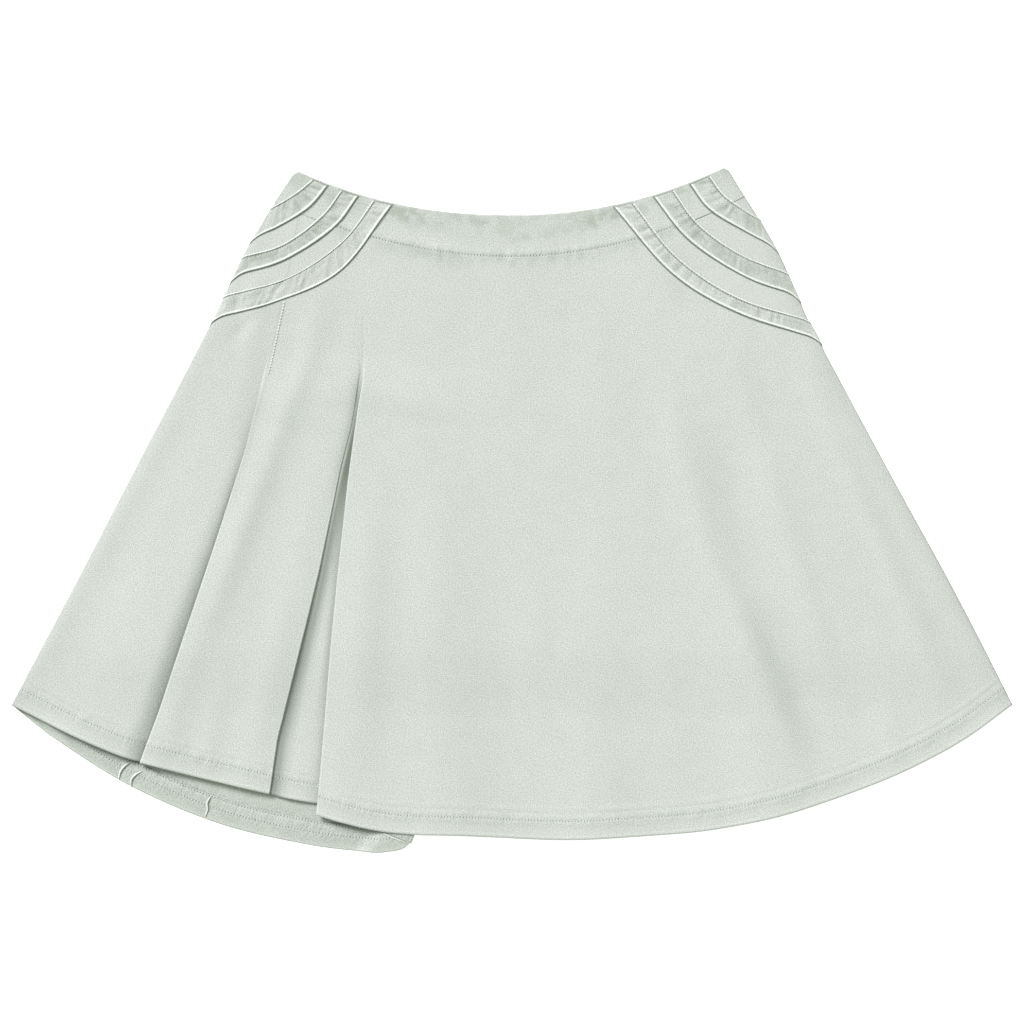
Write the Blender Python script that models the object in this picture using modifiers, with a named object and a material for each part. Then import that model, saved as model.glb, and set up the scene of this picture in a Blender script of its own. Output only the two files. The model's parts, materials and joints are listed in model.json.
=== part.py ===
"""A short flared skort in washed twill, laid flat and face up on a surface.

Run with: blender --background --python part.py

The frame is metres with +Z up. +X is to the right and +Y is towards the waist as one looks down on
the garment. The origin is under the middle of its bounding box, on the surface it lies on.
From the surface up lie the back, the two layers of the built-in shorts, the front and the hip bands.
Every size below is in millimetres. A row of a cloth panel runs from the left side to the right side,
and its share says how far down it lies: 0 at the waist seam and 1 at the hem.
"""

import math

import bpy
import numpy as np

MM = 0.001

# Cloth
WALL = 1.0  # one layer of twill
HEM_WALL = 1.2  # the hem turning, pressed and stitched
WAIST_WALL = 1.6  # the doubled waistband
SEAM_GAP = 0.3  # between pieces that are sewn or lie on each other
HEM_TURNING = 20.0  # depth of the hem turning

# Heights of the middle of the cloth above the surface
BACK_Z = WALL / 2
SHORTS_BACK_Z = BACK_Z + WALL + SEAM_GAP
SHORTS_FRONT_Z = SHORTS_BACK_Z + WALL + SEAM_GAP
FRONT_Z = SHORTS_FRONT_Z + WALL + SEAM_GAP
FRONT_HEM_Z = HEM_WALL + SEAM_GAP + HEM_WALL / 2
BACK_WAIST_Z = WAIST_WALL / 2
SIDE_EDGE_Z = WAIST_WALL + SEAM_GAP + WAIST_WALL / 2
FRONT_WAIST_Z = SIDE_EDGE_Z + 0.1  # a little above its sides
SIDE_ROUND = 10.0  # width over which the front curves down to the side seam
SIDE_SLANT = 1.13  # width across a slanting side, over its width square to the side
SHORTS_END_Y = -100.0  # below this the front sinks towards the back
SINK_LENGTH = 60.0
SIDE_SINKS = (-100.0, -200.0)  # y between which the side edge sinks to the hem's height

# Outline of the skirt, laid flat
WAIST_DIP_Y = 223.0  # middle of the waist edge
WAIST_RISE = (34.0, 37.5)  # from there up to its left and right corners
WAIST_POWER = (2.2, 2.1)  # of the curve that it climbs by
WAIST_HALF = (163.5, 163.5)
CORNER_ROUND = 4.0
WAISTBAND_ROWS = (0.0, 0.12, 0.45, 1.0)  # shares of the way from the waist edge to the seam
SEAM_DIP_Y = 190.5  # middle of the waist seam
SEAM_RISE = (0.0013, 0.0015)  # the seam climbs by this times x squared, left and right
SEAM_HALF = 178.5  # where the seam meets the sides
BACK_INSET = 0.5  # the hidden back edge lies this far inside the front edge

# The side edges, from the waist over the hip to the hem
LEFT_SIDE = (
    # x      y
    (-164.5, 255.0),
    (-198.5, 200.5),
    (-224.0, 147.5),
    (-251.0, 95.0),
    (-292.5, 15.5),
    (-334.0, -64.0),
    (-378.2, -147.5),
)
RIGHT_SIDE = (
    # x      y
    (165.0, 255.5),
    (198.0, 200.5),
    (222.5, 147.5),
    (250.0, 95.0),
    (292.5, 15.5),
    (335.5, -64.0),
    (378.2, -147.0),
)

# Spacing of the points in a row, in millimetres from a side edge or a bend
BESIDE_SIDE = np.array([0.0, 0.12, 0.35, 0.7, 1.1]) * SIDE_ROUND
BESIDE_BEND = np.array([0.0, 1.5])

# Rows of the front panel, as shares of the way from the seam to the hem
PANEL_LENGTH = 450.0
TURNING_SHARE = 1 - HEM_TURNING / PANEL_LENGTH  # the hem turning lies below this share
FRONT_ROWS = (
    0.0, 0.05, 0.1, 0.15, 0.165, 0.18, 0.195, 0.21, 0.225, 0.24, 0.3, 0.37, 0.44, 0.51,
    0.58, 0.65, 0.72, 0.78, 0.84, 0.9, 0.949, 0.957, 1.0,
)
PLEAT_STARTS = 0.15  # the cloth is flat above this share
PLEAT_OPENS = 0.24  # and folded right over below this one
FOLD_RADIUS = 0.9  # of the middle of the cloth where the front doubles back
ARC_POINTS = 5

# Pleat edges: x at six shares of the way down, then how far the hidden inner fold lies from the
# edge at the hem. A rising pleat has the upper layer on its right.
EDGE_SHARES = (0.0, PLEAT_STARTS, PLEAT_OPENS, 0.42, 0.7, 1.0)
PLEATS = {
    #           seam_x  start_x  open_x  upper_x  lower_x  hem_x   under   rises
    "knife": ((-158.0, -171.0, -181.0, -200.5, -239.0, -280.5), 45.0, True),
    "inverted_left": ((-116.0, -115.8, -114.3, -130.7, -156.3, -183.3), 19.0, False),
    "inverted_right": ((-110.3, -110.4, -112.5, -123.8, -136.9, -147.2), 30.0, True),
}
LEAST_STRAIGHT = 0.5  # length of the flat between a fold's two bends where it starts

# Hem of each stretch of the front between two folds, with its hidden ends
SIDE_HEM = ((-378.2, -147.5), (-330.0, -171.0), (-281.0, -190.3), (-236.0, -199.0))
PLEAT_HEM = ((-280.5, -190.7), (-234.0, -202.6), (-183.3, -214.4))
INNER_HEM = ((-203.0, -208.0), (-184.0, -214.8), (-147.0, -221.9), (-117.0, -226.0))
MAIN_HEM = (
    (-147.2, -230.2), (-129.0, -235.6), (-103.0, -241.8), (-78.0, -244.7), (-39.0, -245.8),
    (34.0, -249.3), (97.0, -246.6), (153.0, -241.6), (210.0, -229.3), (266.0, -210.3),
    (311.0, -190.5), (345.0, -171.5), (378.2, -147.0),
)
BACK_HEM = (
    (-378.2, -147.5), (-345.0, -173.5), (-288.0, -209.0), (-220.5, -237.5), (-152.5, -253.3),
    (-107.0, -258.5), (-90.0, -258.0), (-79.0, -255.0),
)
BACK_RIGHT_HEM = (
    (-98.0, -254.0), (-84.0, -249.5), (-70.0, -243.0), (-39.0, -242.5), (34.0, -245.5), (97.0, -242.8),
    (153.0, -237.8), (210.0, -225.8), (266.0, -207.0), (311.0, -187.6), (345.0, -169.0),
    (378.2, -147.0),
)

# Soft folds of the front: where the crest starts and ends, its half width and its height at the end
FRONT_FOLDS = (
    # from_x  from_y   to_x    to_y   half_width  height
    (-60.0, 120.0, -45.0, -246.0, 30.0, 1.2),
    (70.0, 110.0, 62.0, -248.0, 34.0, 1.6),
    (128.0, 90.0, 200.0, -232.0, 26.0, 2.4),
    (190.0, 80.0, 300.0, -196.0, 24.0, 1.5),
    (-240.0, 90.0, -330.0, -172.0, 22.0, 1.2),
)
UNDER_LAP = 3.0  # a stretch that runs under its neighbour starts this far beyond the fold
PLATEAU_START = 14.0  # the front stays high this far past the inverted pleat at the seam
PLATEAU_END = -62.0  # and as far as this x at the hem
PLATEAU_SLOPE = 70.0  # width over which it comes down again

# Hip bands: the upper and the lower edge of each, from the waist past two places to the side, and
# how far the edge curls down as it meets the side
HIP_BANDS = {
    #                     waist_x  high_x  high_y  low_x   low_y  side_y  curl
    "hip_band_left_1": ((-150.5, -160.0, 242.0, -171.0, 234.0, 227.0, 0.0),
                        (-139.0, -153.5, 228.5, -176.0, 214.5, 206.5, 4.0)),
    "hip_band_left_2": ((-129.0, -144.5, 221.5, -172.5, 201.0, 191.5, 1.0),
                        (-116.0, -135.0, 213.0, -172.0, 189.0, 177.5, 5.0)),
    "hip_band_left_3": ((-104.5, -128.0, 203.0, -168.0, 176.0, 162.0, 1.0),
                        (-90.5, -130.0, 180.5, -180.0, 157.0, 145.5, 4.0)),
    "hip_band_right_1": ((149.5, 160.0, 238.5, 173.5, 228.0, 218.5, 0.0),
                         (134.5, 149.5, 227.0, 176.5, 210.5, 199.0, 4.0)),
    "hip_band_right_2": ((122.0, 141.0, 216.0, 172.0, 193.5, 179.0, 1.0),
                         (107.0, 134.0, 204.0, 176.0, 176.5, 162.5, 5.0)),
    "hip_band_right_3": ((91.5, 125.0, 191.0, 170.0, 161.0, 143.5, 2.0),
                         (77.0, 121.0, 179.0, 170.0, 149.5, 129.5, 4.0)),
}
BAND_CURL_REACH = 14.0  # width over which an edge curls down
BAND_WALL = 1.0
BAND_UPPER_RIDGE = 0.5  # the stitched edge of a band
BAND_LOWER_RIDGE = 1.0  # its rolled free edge
BAND_STEPS = 18
BAND_WAIST_SETBACK = 1.6  # from the waist edge and from the side edge to a band's ends
BAND_SIDE_SETBACK = 1.2
BAND_PROFILE = (
    # across  upper_ridge  lower_ridge
    (0.0, 0.2, 0.0),
    (0.06, 1.0, 0.0),
    (0.14, 0.6, 0.0),
    (0.24, 0.0, 0.0),
    (0.5, 0.0, 0.0),
    (0.78, 0.0, 0.1),
    (0.87, 0.0, 0.8),
    (0.95, 0.0, 1.0),
    (1.0, 0.0, 0.3),
)

# The fold in the back panel that makes the tail under the front's hem
BACK_ROWS = (0.0, 0.2, 0.4, 0.6, 0.68, 0.7, 0.72, 0.74, 0.76, 0.78, 0.84, 0.9, 0.949, 0.957, 1.0)
TAIL_STARTS = 0.68
TAIL_FOLDS = 0.78
TAIL_RADIUS = 0.9
TAIL_SHARES = (0.0, TAIL_STARTS, TAIL_FOLDS, 0.957, 1.0)
TAIL_EDGE = (0.0, -50.0, -57.5, -69.0, -75.0)  # x at each of those shares
TAIL_UNDER = 20.0  # how far the hidden fold lies behind that edge at the hem
TAIL_RAMP = 15.0  # width over which the tail climbs on to the cloth it covers
TAIL_CLEAR = 9.0  # from the top of that climb to the hidden fold

# Built-in shorts: the corners of one leg piece, which the other side mirrors
SHORTS_TOP_HALF = 164.0
SHORTS_HIP = (228.0, 60.0)
SHORTS_OUTER_LEG = (236.0, -72.0)
SHORTS_INNER_LEG = (22.0, -96.0)
SHORTS_CROTCH = (SEAM_GAP / 2, -36.0)

COLOURS = {
    "face_twill": (0.67, 0.72, 0.66),
    "band_twill": (0.63, 0.68, 0.62),
    "inside_twill": (0.62, 0.67, 0.61),
}


def smooth_step(value, start, end):
    """0 before start, 1 after end, and a smooth climb between."""
    t = np.clip((np.asarray(value, float) - start) / (end - start), 0.0, 1.0)
    return t * t * (3.0 - 2.0 * t)


def curve_through(points, count):
    """A smooth curve through the points: cubic pieces with Catmull-Rom slopes, count points long."""
    points = np.array(points, float)
    padded = np.vstack([2 * points[0] - points[1], points, 2 * points[-1] - points[-2]])
    at = np.linspace(0.0, len(points) - 1.0, count)
    piece = np.minimum(at.astype(int), len(points) - 2)
    t = (at - piece)[:, None]
    before, start, end, after = (padded[piece + shift] for shift in range(4))
    return 0.5 * (
        2 * start
        + (end - before) * t
        + (2 * before - 5 * start + 4 * end - after) * t**2
        + (3 * start - before - 3 * end + after) * t**3
    )


def waist_y(x):
    """The waist edge: it rises from its middle to each corner."""
    x = np.asarray(x, float)
    rise, half, power = (np.where(x < 0, *pair) for pair in (WAIST_RISE, WAIST_HALF, WAIST_POWER))
    return WAIST_DIP_Y + rise * (np.abs(x) / half) ** power


def seam_y(x):
    """The waist seam: a parabola about 32 mm under the waist edge."""
    x = np.asarray(x, float)
    return SEAM_DIP_Y + np.where(x < 0, *SEAM_RISE) * x**2


def side_x(side, y):
    """The x of a side edge at the height y."""
    edge = curve_through(LEFT_SIDE if side < 0 else RIGHT_SIDE, 80)
    slope = (edge[0] - edge[1]) / (edge[0, 1] - edge[1, 1])
    above = np.maximum(np.asarray(y, float) - edge[0, 1], 0.0) * slope[0]
    return np.interp(-np.asarray(y, float), -edge[:, 1], edge[:, 0]) + above


def side_distance(x, y):
    """How far a point lies inside the nearer side edge, measured square to it."""
    nearest = np.minimum(x - side_x(-1, y), side_x(1, y) - x) / SIDE_SLANT
    return np.maximum(nearest, 0.0)


def front_fold_height(x, y):
    """The soft folds of the front: each is a bell across its crest, growing along it."""
    total = np.zeros(np.shape(x))
    for from_x, from_y, to_x, to_y, half_width, height in FRONT_FOLDS:
        along = np.clip((from_y - y) / (from_y - to_y), 0.0, 1.2)
        crest = from_x + (to_x - from_x) * along
        total = total + height * smooth_step(along, 0.0, 1.0) * np.exp(-(((x - crest) / half_width) ** 2))
    return total


def front_height(x, y):
    """Height of the middle of the front cloth, before its pleats are added."""
    x, y = np.asarray(x, float), np.asarray(y, float)
    sunk = smooth_step(-y, -SHORTS_END_Y, -SHORTS_END_Y + SINK_LENGTH)
    level = FRONT_Z + (FRONT_HEM_Z - FRONT_Z) * sunk
    above_seam = np.clip((y - seam_y(x)) / (waist_y(x) - seam_y(x)), 0.0, 1.0)
    level = level + (FRONT_WAIST_Z - FRONT_Z) * above_seam
    level = level + front_fold_height(x, y)
    reach = np.clip(side_distance(x, y) / SIDE_ROUND, 0.0, 1.0)
    edge_sunk = smooth_step(-y, -SIDE_SINKS[0], -SIDE_SINKS[1])
    edge = SIDE_EDGE_Z + (FRONT_HEM_Z - SIDE_EDGE_Z) * edge_sunk
    edge = np.minimum(edge, level)
    return edge + (level - edge) * np.sqrt(1.0 - (1.0 - reach) ** 2)


def fold_section(angle, straight, radius):
    """A sheet bending up by angle, running straight, and bending level again, about its middle.

    Each bend uses up half a turn's length of cloth, so its radius is larger where the angle is less.
    """
    angle = max(angle, 1e-3)
    bend = radius * math.pi / angle
    turn = np.linspace(0.0, angle, ARC_POINTS)
    first = np.column_stack([bend * np.sin(turn), bend * (1 - np.cos(turn))])
    top = first[-1] + straight * np.array([math.cos(angle), math.sin(angle)])
    back = turn[::-1]
    second = top + bend * np.column_stack([math.sin(angle) - np.sin(back), np.cos(back) - math.cos(angle)])
    section = np.vstack([first, second])
    section[:, 0] -= (first[-1, 0] + top[0]) / 2
    return section


def fold_at(share, starts, folds, under, radius):
    """The section of a pleat at a row: flat above where it starts, folded over below, then deepening."""
    angle = math.pi * float(np.clip((share - starts) / (folds - starts), 0.0, 1.0))
    grown = max(0.0, (share - folds) / (1.0 - folds))
    straight = LEAST_STRAIGHT + (under - LEAST_STRAIGHT) * grown
    return fold_section(angle, straight, radius), straight


def panel_row(top_left, top_right, hem, share, count=60):
    """A row of a panel: its points lie on straight lines from the waist seam down to the hem."""
    hem_curve = curve_through(hem, count)
    top_x = np.linspace(top_left, top_right, count)
    top = np.column_stack([top_x, seam_y(top_x) - SEAM_GAP / 2])
    return top + (hem_curve - top) * share


def on_row(row, x):
    """The y of a row at each x."""
    order = np.argsort(row[:, 0])
    return np.interp(x, row[order, 0], row[order, 1])


def spaced(start, end, count, near_start, near_end):
    """count even steps from start to end, between finer ones near each: at a side edge or a bend."""
    first, last = start + near_start, end - near_end[::-1]
    middle = np.linspace(first[-1], last[0], count + 1)[1:-1]
    return np.concatenate([first, middle, last])


def joined(before, section, after):
    """The bend between two stretches of a row, its y running evenly from one to the other."""
    run = np.concatenate([[0.0], np.cumsum(np.linalg.norm(np.diff(section, axis=0), axis=1))])
    part = run / run[-1]
    y = before[-1, 1] + (after[0, 1] - before[-1, 1]) * part
    base = before[-1, 2] + (after[0, 2] - before[-1, 2] - (section[-1, 1] - section[0, 1])) * part
    bend = np.column_stack([section[:, 0], y, base + section[:, 1] - section[0, 1]])
    return bend[1:-1]


def front_section(share):
    """One row of the front panel, through its three pleats, as points in millimetres."""
    ends, sections, heights = {}, {}, {}
    for name, (edges, under, rises) in PLEATS.items():
        section, straight = fold_at(share, PLEAT_STARTS, PLEAT_OPENS, under, FOLD_RADIUS)
        edge = float(np.interp(share, EDGE_SHARES, edges))
        towards = 1.0 if rises else -1.0
        centre = edge + towards * (FOLD_RADIUS + straight / 2)
        heights[name] = section[-1, 1]
        if not rises:
            section = np.column_stack([section[:, 0], section[::-1, 1]])
        section[:, 0] += centre
        sections[name] = section
        ends[name] = (section[0, 0], section[-1, 0])
    rise = heights["knife"]

    left_top, right_top = -SEAM_HALF, SEAM_HALF
    knife_top, inner_top, main_top = (PLEATS[name][0][0] for name in PLEATS)
    side_row = panel_row(left_top, knife_top, SIDE_HEM, share)
    pleat_row = panel_row(knife_top, inner_top, PLEAT_HEM, share)
    inner_row = panel_row(inner_top - UNDER_LAP, main_top + UNDER_LAP, INNER_HEM, share)
    main_row = panel_row(main_top, right_top, MAIN_HEM, share)
    left_y, right_y = side_row[0, 1], main_row[-1, 1]

    side_x_values = spaced(side_x(-1, left_y), ends["knife"][0], 5, BESIDE_SIDE, BESIDE_BEND)
    pleat_x_values = spaced(ends["knife"][1], ends["inverted_left"][0], 5, BESIDE_BEND, BESIDE_BEND)
    inner_x_values = np.linspace(ends["inverted_left"][1], ends["inverted_right"][0], 4)
    main_x_values = spaced(ends["inverted_right"][1], side_x(1, right_y), 22, BESIDE_BEND, BESIDE_SIDE)

    def stretch(x, row, lift):
        y = on_row(row, x)
        return np.column_stack([x, y, front_height(x, y) + lift])

    side = stretch(side_x_values, side_row, 0.0)
    pleat = stretch(pleat_x_values, pleat_row, rise)
    inner = stretch(inner_x_values, inner_row, 0.0)
    widens = PLATEAU_END - MAIN_HEM[0][0] - PLATEAU_START
    plateau = ends["inverted_right"][1] + PLATEAU_START + widens * share
    settle = 1.0 - smooth_step(main_x_values, plateau, plateau + PLATEAU_SLOPE)
    main = stretch(main_x_values, main_row, rise * settle)

    return np.vstack(
        [
            side,
            joined(side, sections["knife"], pleat),
            pleat,
            joined(pleat, sections["inverted_left"], inner),
            inner,
            joined(inner, sections["inverted_right"], main),
            main,
        ]
    )


def back_section(share):
    """One row of the back panel, flat on the surface but for the fold that makes its tail."""
    section, straight = fold_at(share, TAIL_STARTS, TAIL_FOLDS, TAIL_UNDER, TAIL_RADIUS)
    rise = section[-1, 1]
    edge = float(np.interp(share, TAIL_SHARES, TAIL_EDGE))
    section = np.column_stack([section[:, 0] + edge - TAIL_RADIUS - straight / 2, section[::-1, 1]])
    half_wall = (HEM_WALL if share > TURNING_SHARE else WALL) / 2
    left_row = panel_row(-SEAM_HALF, TAIL_EDGE[0], BACK_HEM, share)
    right_row = panel_row(TAIL_EDGE[0] - UNDER_LAP, SEAM_HALF, BACK_RIGHT_HEM, share)
    left_end = side_x(-1, left_row[0, 1]) + BACK_INSET
    right_end = side_x(1, right_row[-1, 1]) - BACK_INSET
    ramp_end = edge - straight - TAIL_CLEAR
    ramp = np.linspace(ramp_end - TAIL_RAMP, ramp_end, 5)
    left_x = np.concatenate(
        [np.linspace(left_end, ramp[0], 10)[:-1], ramp, np.linspace(ramp_end, section[0, 0], 4)[1:]]
    )
    right_x = spaced(section[-1, 0], right_end, 13, BESIDE_BEND, np.zeros(1))
    climb = smooth_step(left_x, ramp[0], ramp[-1])
    left = np.column_stack([left_x, on_row(left_row, left_x), half_wall + rise * climb])
    right = np.column_stack([right_x, on_row(right_row, right_x), np.full(len(right_x), half_wall)])
    return np.vstack([left, joined(left, section, right), right])


def waistband_rows(height, inset):
    """The waistband as rows from the waist edge to the seam. height gives z at a point."""
    rows = []
    for part in WAISTBAND_ROWS:
        rounding = CORNER_ROUND / 2 if part == 0.0 else 0.0
        ends = []
        for side, half in zip((-1, 1), WAIST_HALF):
            corner = float(waist_y(side * half))
            at = corner + (float(seam_y(side * SEAM_HALF)) - corner) * part
            ends.append(float(side_x(side, at)) - side * (inset + rounding))
        x = spaced(*ends, 24, BESIDE_SIDE, BESIDE_SIDE)
        edge = waist_y(x) - inset
        y = edge + (seam_y(x) + SEAM_GAP / 2 - edge) * part
        rows.append(np.column_stack([x, y, height(x, y)]))
    return rows


def band_edge(side, waist_x, high_x, high_y, low_x, low_y, side_y, curl):
    """One edge of a hip band: a smooth curve from the waist to the side that curls down at its end."""
    start = (waist_x, float(waist_y(waist_x)) - BAND_WAIST_SETBACK)
    end = (float(side_x(side, side_y)) - side * BAND_SIDE_SETBACK, side_y)
    edge = curve_through((start, (high_x, high_y), (low_x, low_y), end), BAND_STEPS)
    nearness = np.clip(1.0 - side * (end[0] - edge[:, 0]) / BAND_CURL_REACH, 0.0, 1.0)
    edge[:, 1] -= curl * nearness**2
    inside = side_x(side, edge[:, 1]) - side * BAND_SIDE_SETBACK
    edge[:, 0] = side * np.minimum(side * edge[:, 0], side * inside)
    edge[-1, 0] = inside[-1]
    return edge


def front_normal(x, y):
    """The upward normal of the front, from the slopes of its height."""
    step = 0.4
    slope_x = (front_height(x + step, y) - front_height(x - step, y)) / (2 * step)
    slope_y = (front_height(x, y + step) - front_height(x, y - step)) / (2 * step)
    normal = np.stack([-slope_x, -slope_y, np.ones_like(slope_x)], axis=-1)
    return normal / np.linalg.norm(normal, axis=-1, keepdims=True)


def band_grid(side, upper, lower):
    """The underside of a hip band, on the front's own points moved out, and its wall at each point."""
    upper, lower = band_edge(side, *upper), band_edge(side, *lower)
    across, upper_ridge, lower_ridge = np.array(BAND_PROFILE).T
    wall = BAND_WALL + BAND_UPPER_RIDGE * upper_ridge + BAND_LOWER_RIDGE * lower_ridge
    plan = upper[:, None, :] + (lower - upper)[:, None, :] * across[None, :, None]
    x, y = plan[..., 0], plan[..., 1]
    above = front_normal(x, y) * (WAIST_WALL / 2 + SEAM_GAP)
    points = np.stack([x, y, front_height(x, y)], axis=-1) + above
    return points, np.broadcast_to(wall, x.shape)


def material(name):
    """A plain cloth material in one of the photo's colours."""
    made = bpy.data.materials.new(name)
    made.use_nodes = True
    shader = made.node_tree.nodes["Principled BSDF"]
    shader.inputs["Base Color"].default_value = (*COLOURS[name], 1.0)
    shader.inputs["Roughness"].default_value = 0.92
    shader.inputs["Metallic"].default_value = 0.0
    made.diffuse_color = (*COLOURS[name], 1.0)
    return made


def cloth(name, rows, walls, finish, offset=0.0):
    """A sheet on a grid of points in millimetres, given its wall by a Solidify modifier."""
    grid = np.array(rows, float)
    walls = np.broadcast_to(np.asarray(walls, float), grid.shape[:2])
    row_count, column_count = grid.shape[:2]
    index = np.arange(row_count * column_count).reshape(row_count, column_count)
    corners = (index[:-1, :-1], index[1:, :-1], index[1:, 1:], index[:-1, 1:])
    faces = np.stack([corner.ravel() for corner in corners], axis=1)
    first = grid.reshape(-1, 3)[faces[0]]
    if np.cross(first[1] - first[0], first[3] - first[0])[2] < 0:
        faces = faces[:, ::-1]
    mesh = bpy.data.meshes.new(name)
    mesh.from_pydata((grid.reshape(-1, 3) * MM).tolist(), [], faces.tolist())
    mesh.shade_smooth()
    obj = bpy.data.objects.new(name, mesh)
    mesh.materials.append(finish)
    thickest = float(walls.max())
    group = obj.vertex_groups.new(name="wall")
    for wall in np.unique(walls):
        members = np.flatnonzero(walls.ravel() == wall).tolist()
        group.add(members, float(wall) / thickest, "REPLACE")
    shell = obj.modifiers.new("wall", "SOLIDIFY")
    shell.thickness = thickest * MM
    shell.offset = offset
    shell.vertex_group = group.name
    shell.thickness_vertex_group = 0.0
    return obj


def shorts_leg(name, side, height, finish):
    """One flat leg piece of the built-in shorts, from the waist seam to the leg, from a filled outline."""
    outline = []
    for x in np.linspace(SEAM_GAP / 2, SHORTS_TOP_HALF, 11):
        outline.append((x, float(seam_y(-x)) - SEAM_GAP))
    outline.extend((SHORTS_HIP, SHORTS_OUTER_LEG, SHORTS_INNER_LEG, SHORTS_CROTCH))
    curve = bpy.data.curves.new(name, "CURVE")
    curve.dimensions = "2D"
    curve.fill_mode = "BOTH"
    curve.extrude = WALL / 2 * MM
    spline = curve.splines.new("POLY")
    spline.points.add(len(outline) - 1)
    for point, (x, y) in zip(spline.points, outline):
        point.co = (side * x * MM, y * MM, 0.0, 1.0)
    spline.use_cyclic_u = True
    obj = bpy.data.objects.new(name, curve)
    obj.location.z = height * MM
    curve.materials.append(finish)
    return obj


def hem_walls(shares, columns):
    """The wall at each point of a panel: thicker over the hem turning."""
    walls = np.where(np.array(shares) > TURNING_SHARE, HEM_WALL, WALL)
    return np.repeat(walls[:, None], columns, axis=1)


def main():
    for obj in list(bpy.data.objects):
        bpy.data.objects.remove(obj)
    finishes = {name: material(name) for name in COLOURS}

    front = [front_section(share) for share in FRONT_ROWS]
    back = [back_section(share) for share in BACK_ROWS]
    pieces = [
        cloth("front_panel", front, hem_walls(FRONT_ROWS, len(front[0])), finishes["face_twill"]),
        cloth("back_panel", back, hem_walls(BACK_ROWS, len(back[0])), finishes["inside_twill"]),
        cloth("front_waistband", waistband_rows(front_height, 0.0), WAIST_WALL, finishes["face_twill"]),
        cloth(
            "back_waistband",
            waistband_rows(lambda x, y: np.full(np.shape(x), BACK_WAIST_Z), BACK_INSET),
            WAIST_WALL,
            finishes["inside_twill"],
        ),
    ]
    for layer, height in (("back", SHORTS_BACK_Z), ("front", SHORTS_FRONT_Z)):
        for word, side in (("left", -1), ("right", 1)):
            name = f"shorts_{layer}_{word}"
            pieces.append(shorts_leg(name, side, height, finishes["inside_twill"]))
    for name, sizes in HIP_BANDS.items():
        points, walls = band_grid(-1 if "left" in name else 1, *sizes)
        pieces.append(cloth(name, points, walls, finishes["band_twill"], offset=1.0))

    skort = bpy.data.collections.new("skort")
    bpy.context.scene.collection.children.link(skort)
    for piece in pieces:
        skort.objects.link(piece)


main()
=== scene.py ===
"""The looks of a short flared skort in pale washed twill, laid flat and face up.

Every piece is a sheet of cloth: a grid of points worked out as whole arrays, whose columns run
across the garment and whose rows run down it, then given its wall. Sizes are in millimetres, in the
frame's own axes: +X to the right, +Y towards the waist, +Z up. A share says how far down a panel a
row lies: 0 at the waist seam and 1 at the hem.
"""

import json
import math

import bpy
import numpy as np
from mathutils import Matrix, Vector

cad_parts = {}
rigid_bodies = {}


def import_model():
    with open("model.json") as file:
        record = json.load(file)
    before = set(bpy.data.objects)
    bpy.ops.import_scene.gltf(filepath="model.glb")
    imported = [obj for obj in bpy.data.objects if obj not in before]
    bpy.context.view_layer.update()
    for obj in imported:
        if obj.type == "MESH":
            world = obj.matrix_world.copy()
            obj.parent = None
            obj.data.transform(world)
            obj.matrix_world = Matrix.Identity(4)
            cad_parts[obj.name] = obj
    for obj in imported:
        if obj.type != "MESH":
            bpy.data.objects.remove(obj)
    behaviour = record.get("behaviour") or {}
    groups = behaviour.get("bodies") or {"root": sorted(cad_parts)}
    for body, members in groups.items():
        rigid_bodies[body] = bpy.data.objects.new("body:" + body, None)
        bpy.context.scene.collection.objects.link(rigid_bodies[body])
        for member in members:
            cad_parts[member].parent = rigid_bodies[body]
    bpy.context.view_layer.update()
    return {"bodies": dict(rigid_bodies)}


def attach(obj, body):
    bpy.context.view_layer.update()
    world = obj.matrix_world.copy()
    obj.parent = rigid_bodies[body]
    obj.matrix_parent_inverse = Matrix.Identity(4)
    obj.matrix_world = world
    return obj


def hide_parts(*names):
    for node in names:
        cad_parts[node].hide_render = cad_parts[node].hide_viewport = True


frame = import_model()

bl_info = {
    "name": "Flared skort",
    "version": (1, 0, 0),
    "blender": (4, 5, 0),
    "location": "View3D > Sidebar > Skort",
    "description": "Cloth, bands, stitching and stage of a washed twill skort laid flat",
    "category": "Object",
}

MM = 0.001
BODY = next(iter(frame["bodies"]))

# Walls of the solids that the cloth lies in, and the gap between pieces
WALL = 1.0
HEM_WALL = 1.2
WAIST_WALL = 1.6
SEAM_GAP = 0.3
HEM_TURNING = 20.0
PANEL_LENGTH = 450.0
TURNING_SHARE = 1 - HEM_TURNING / PANEL_LENGTH

# Heights of the middle of the solids above the surface
SHORTS_BACK_Z = 1.6
SHORTS_FRONT_Z = 2.5
FRONT_Z = 4.4
FRONT_HEM_Z = 2.1
SIDE_EDGE_Z = 2.7
FRONT_WAIST_Z = 2.8
SIDE_ROUND = 10.0
SIDE_SLANT = 1.13
SHORTS_END_Y = -100.0
SINK_LENGTH = 60.0
SIDE_SINKS = (-100.0, -200.0)
FLOOR_CLEAR = 0.1  # the cloth's lowest face above the surface, for the stitches under it

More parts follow.
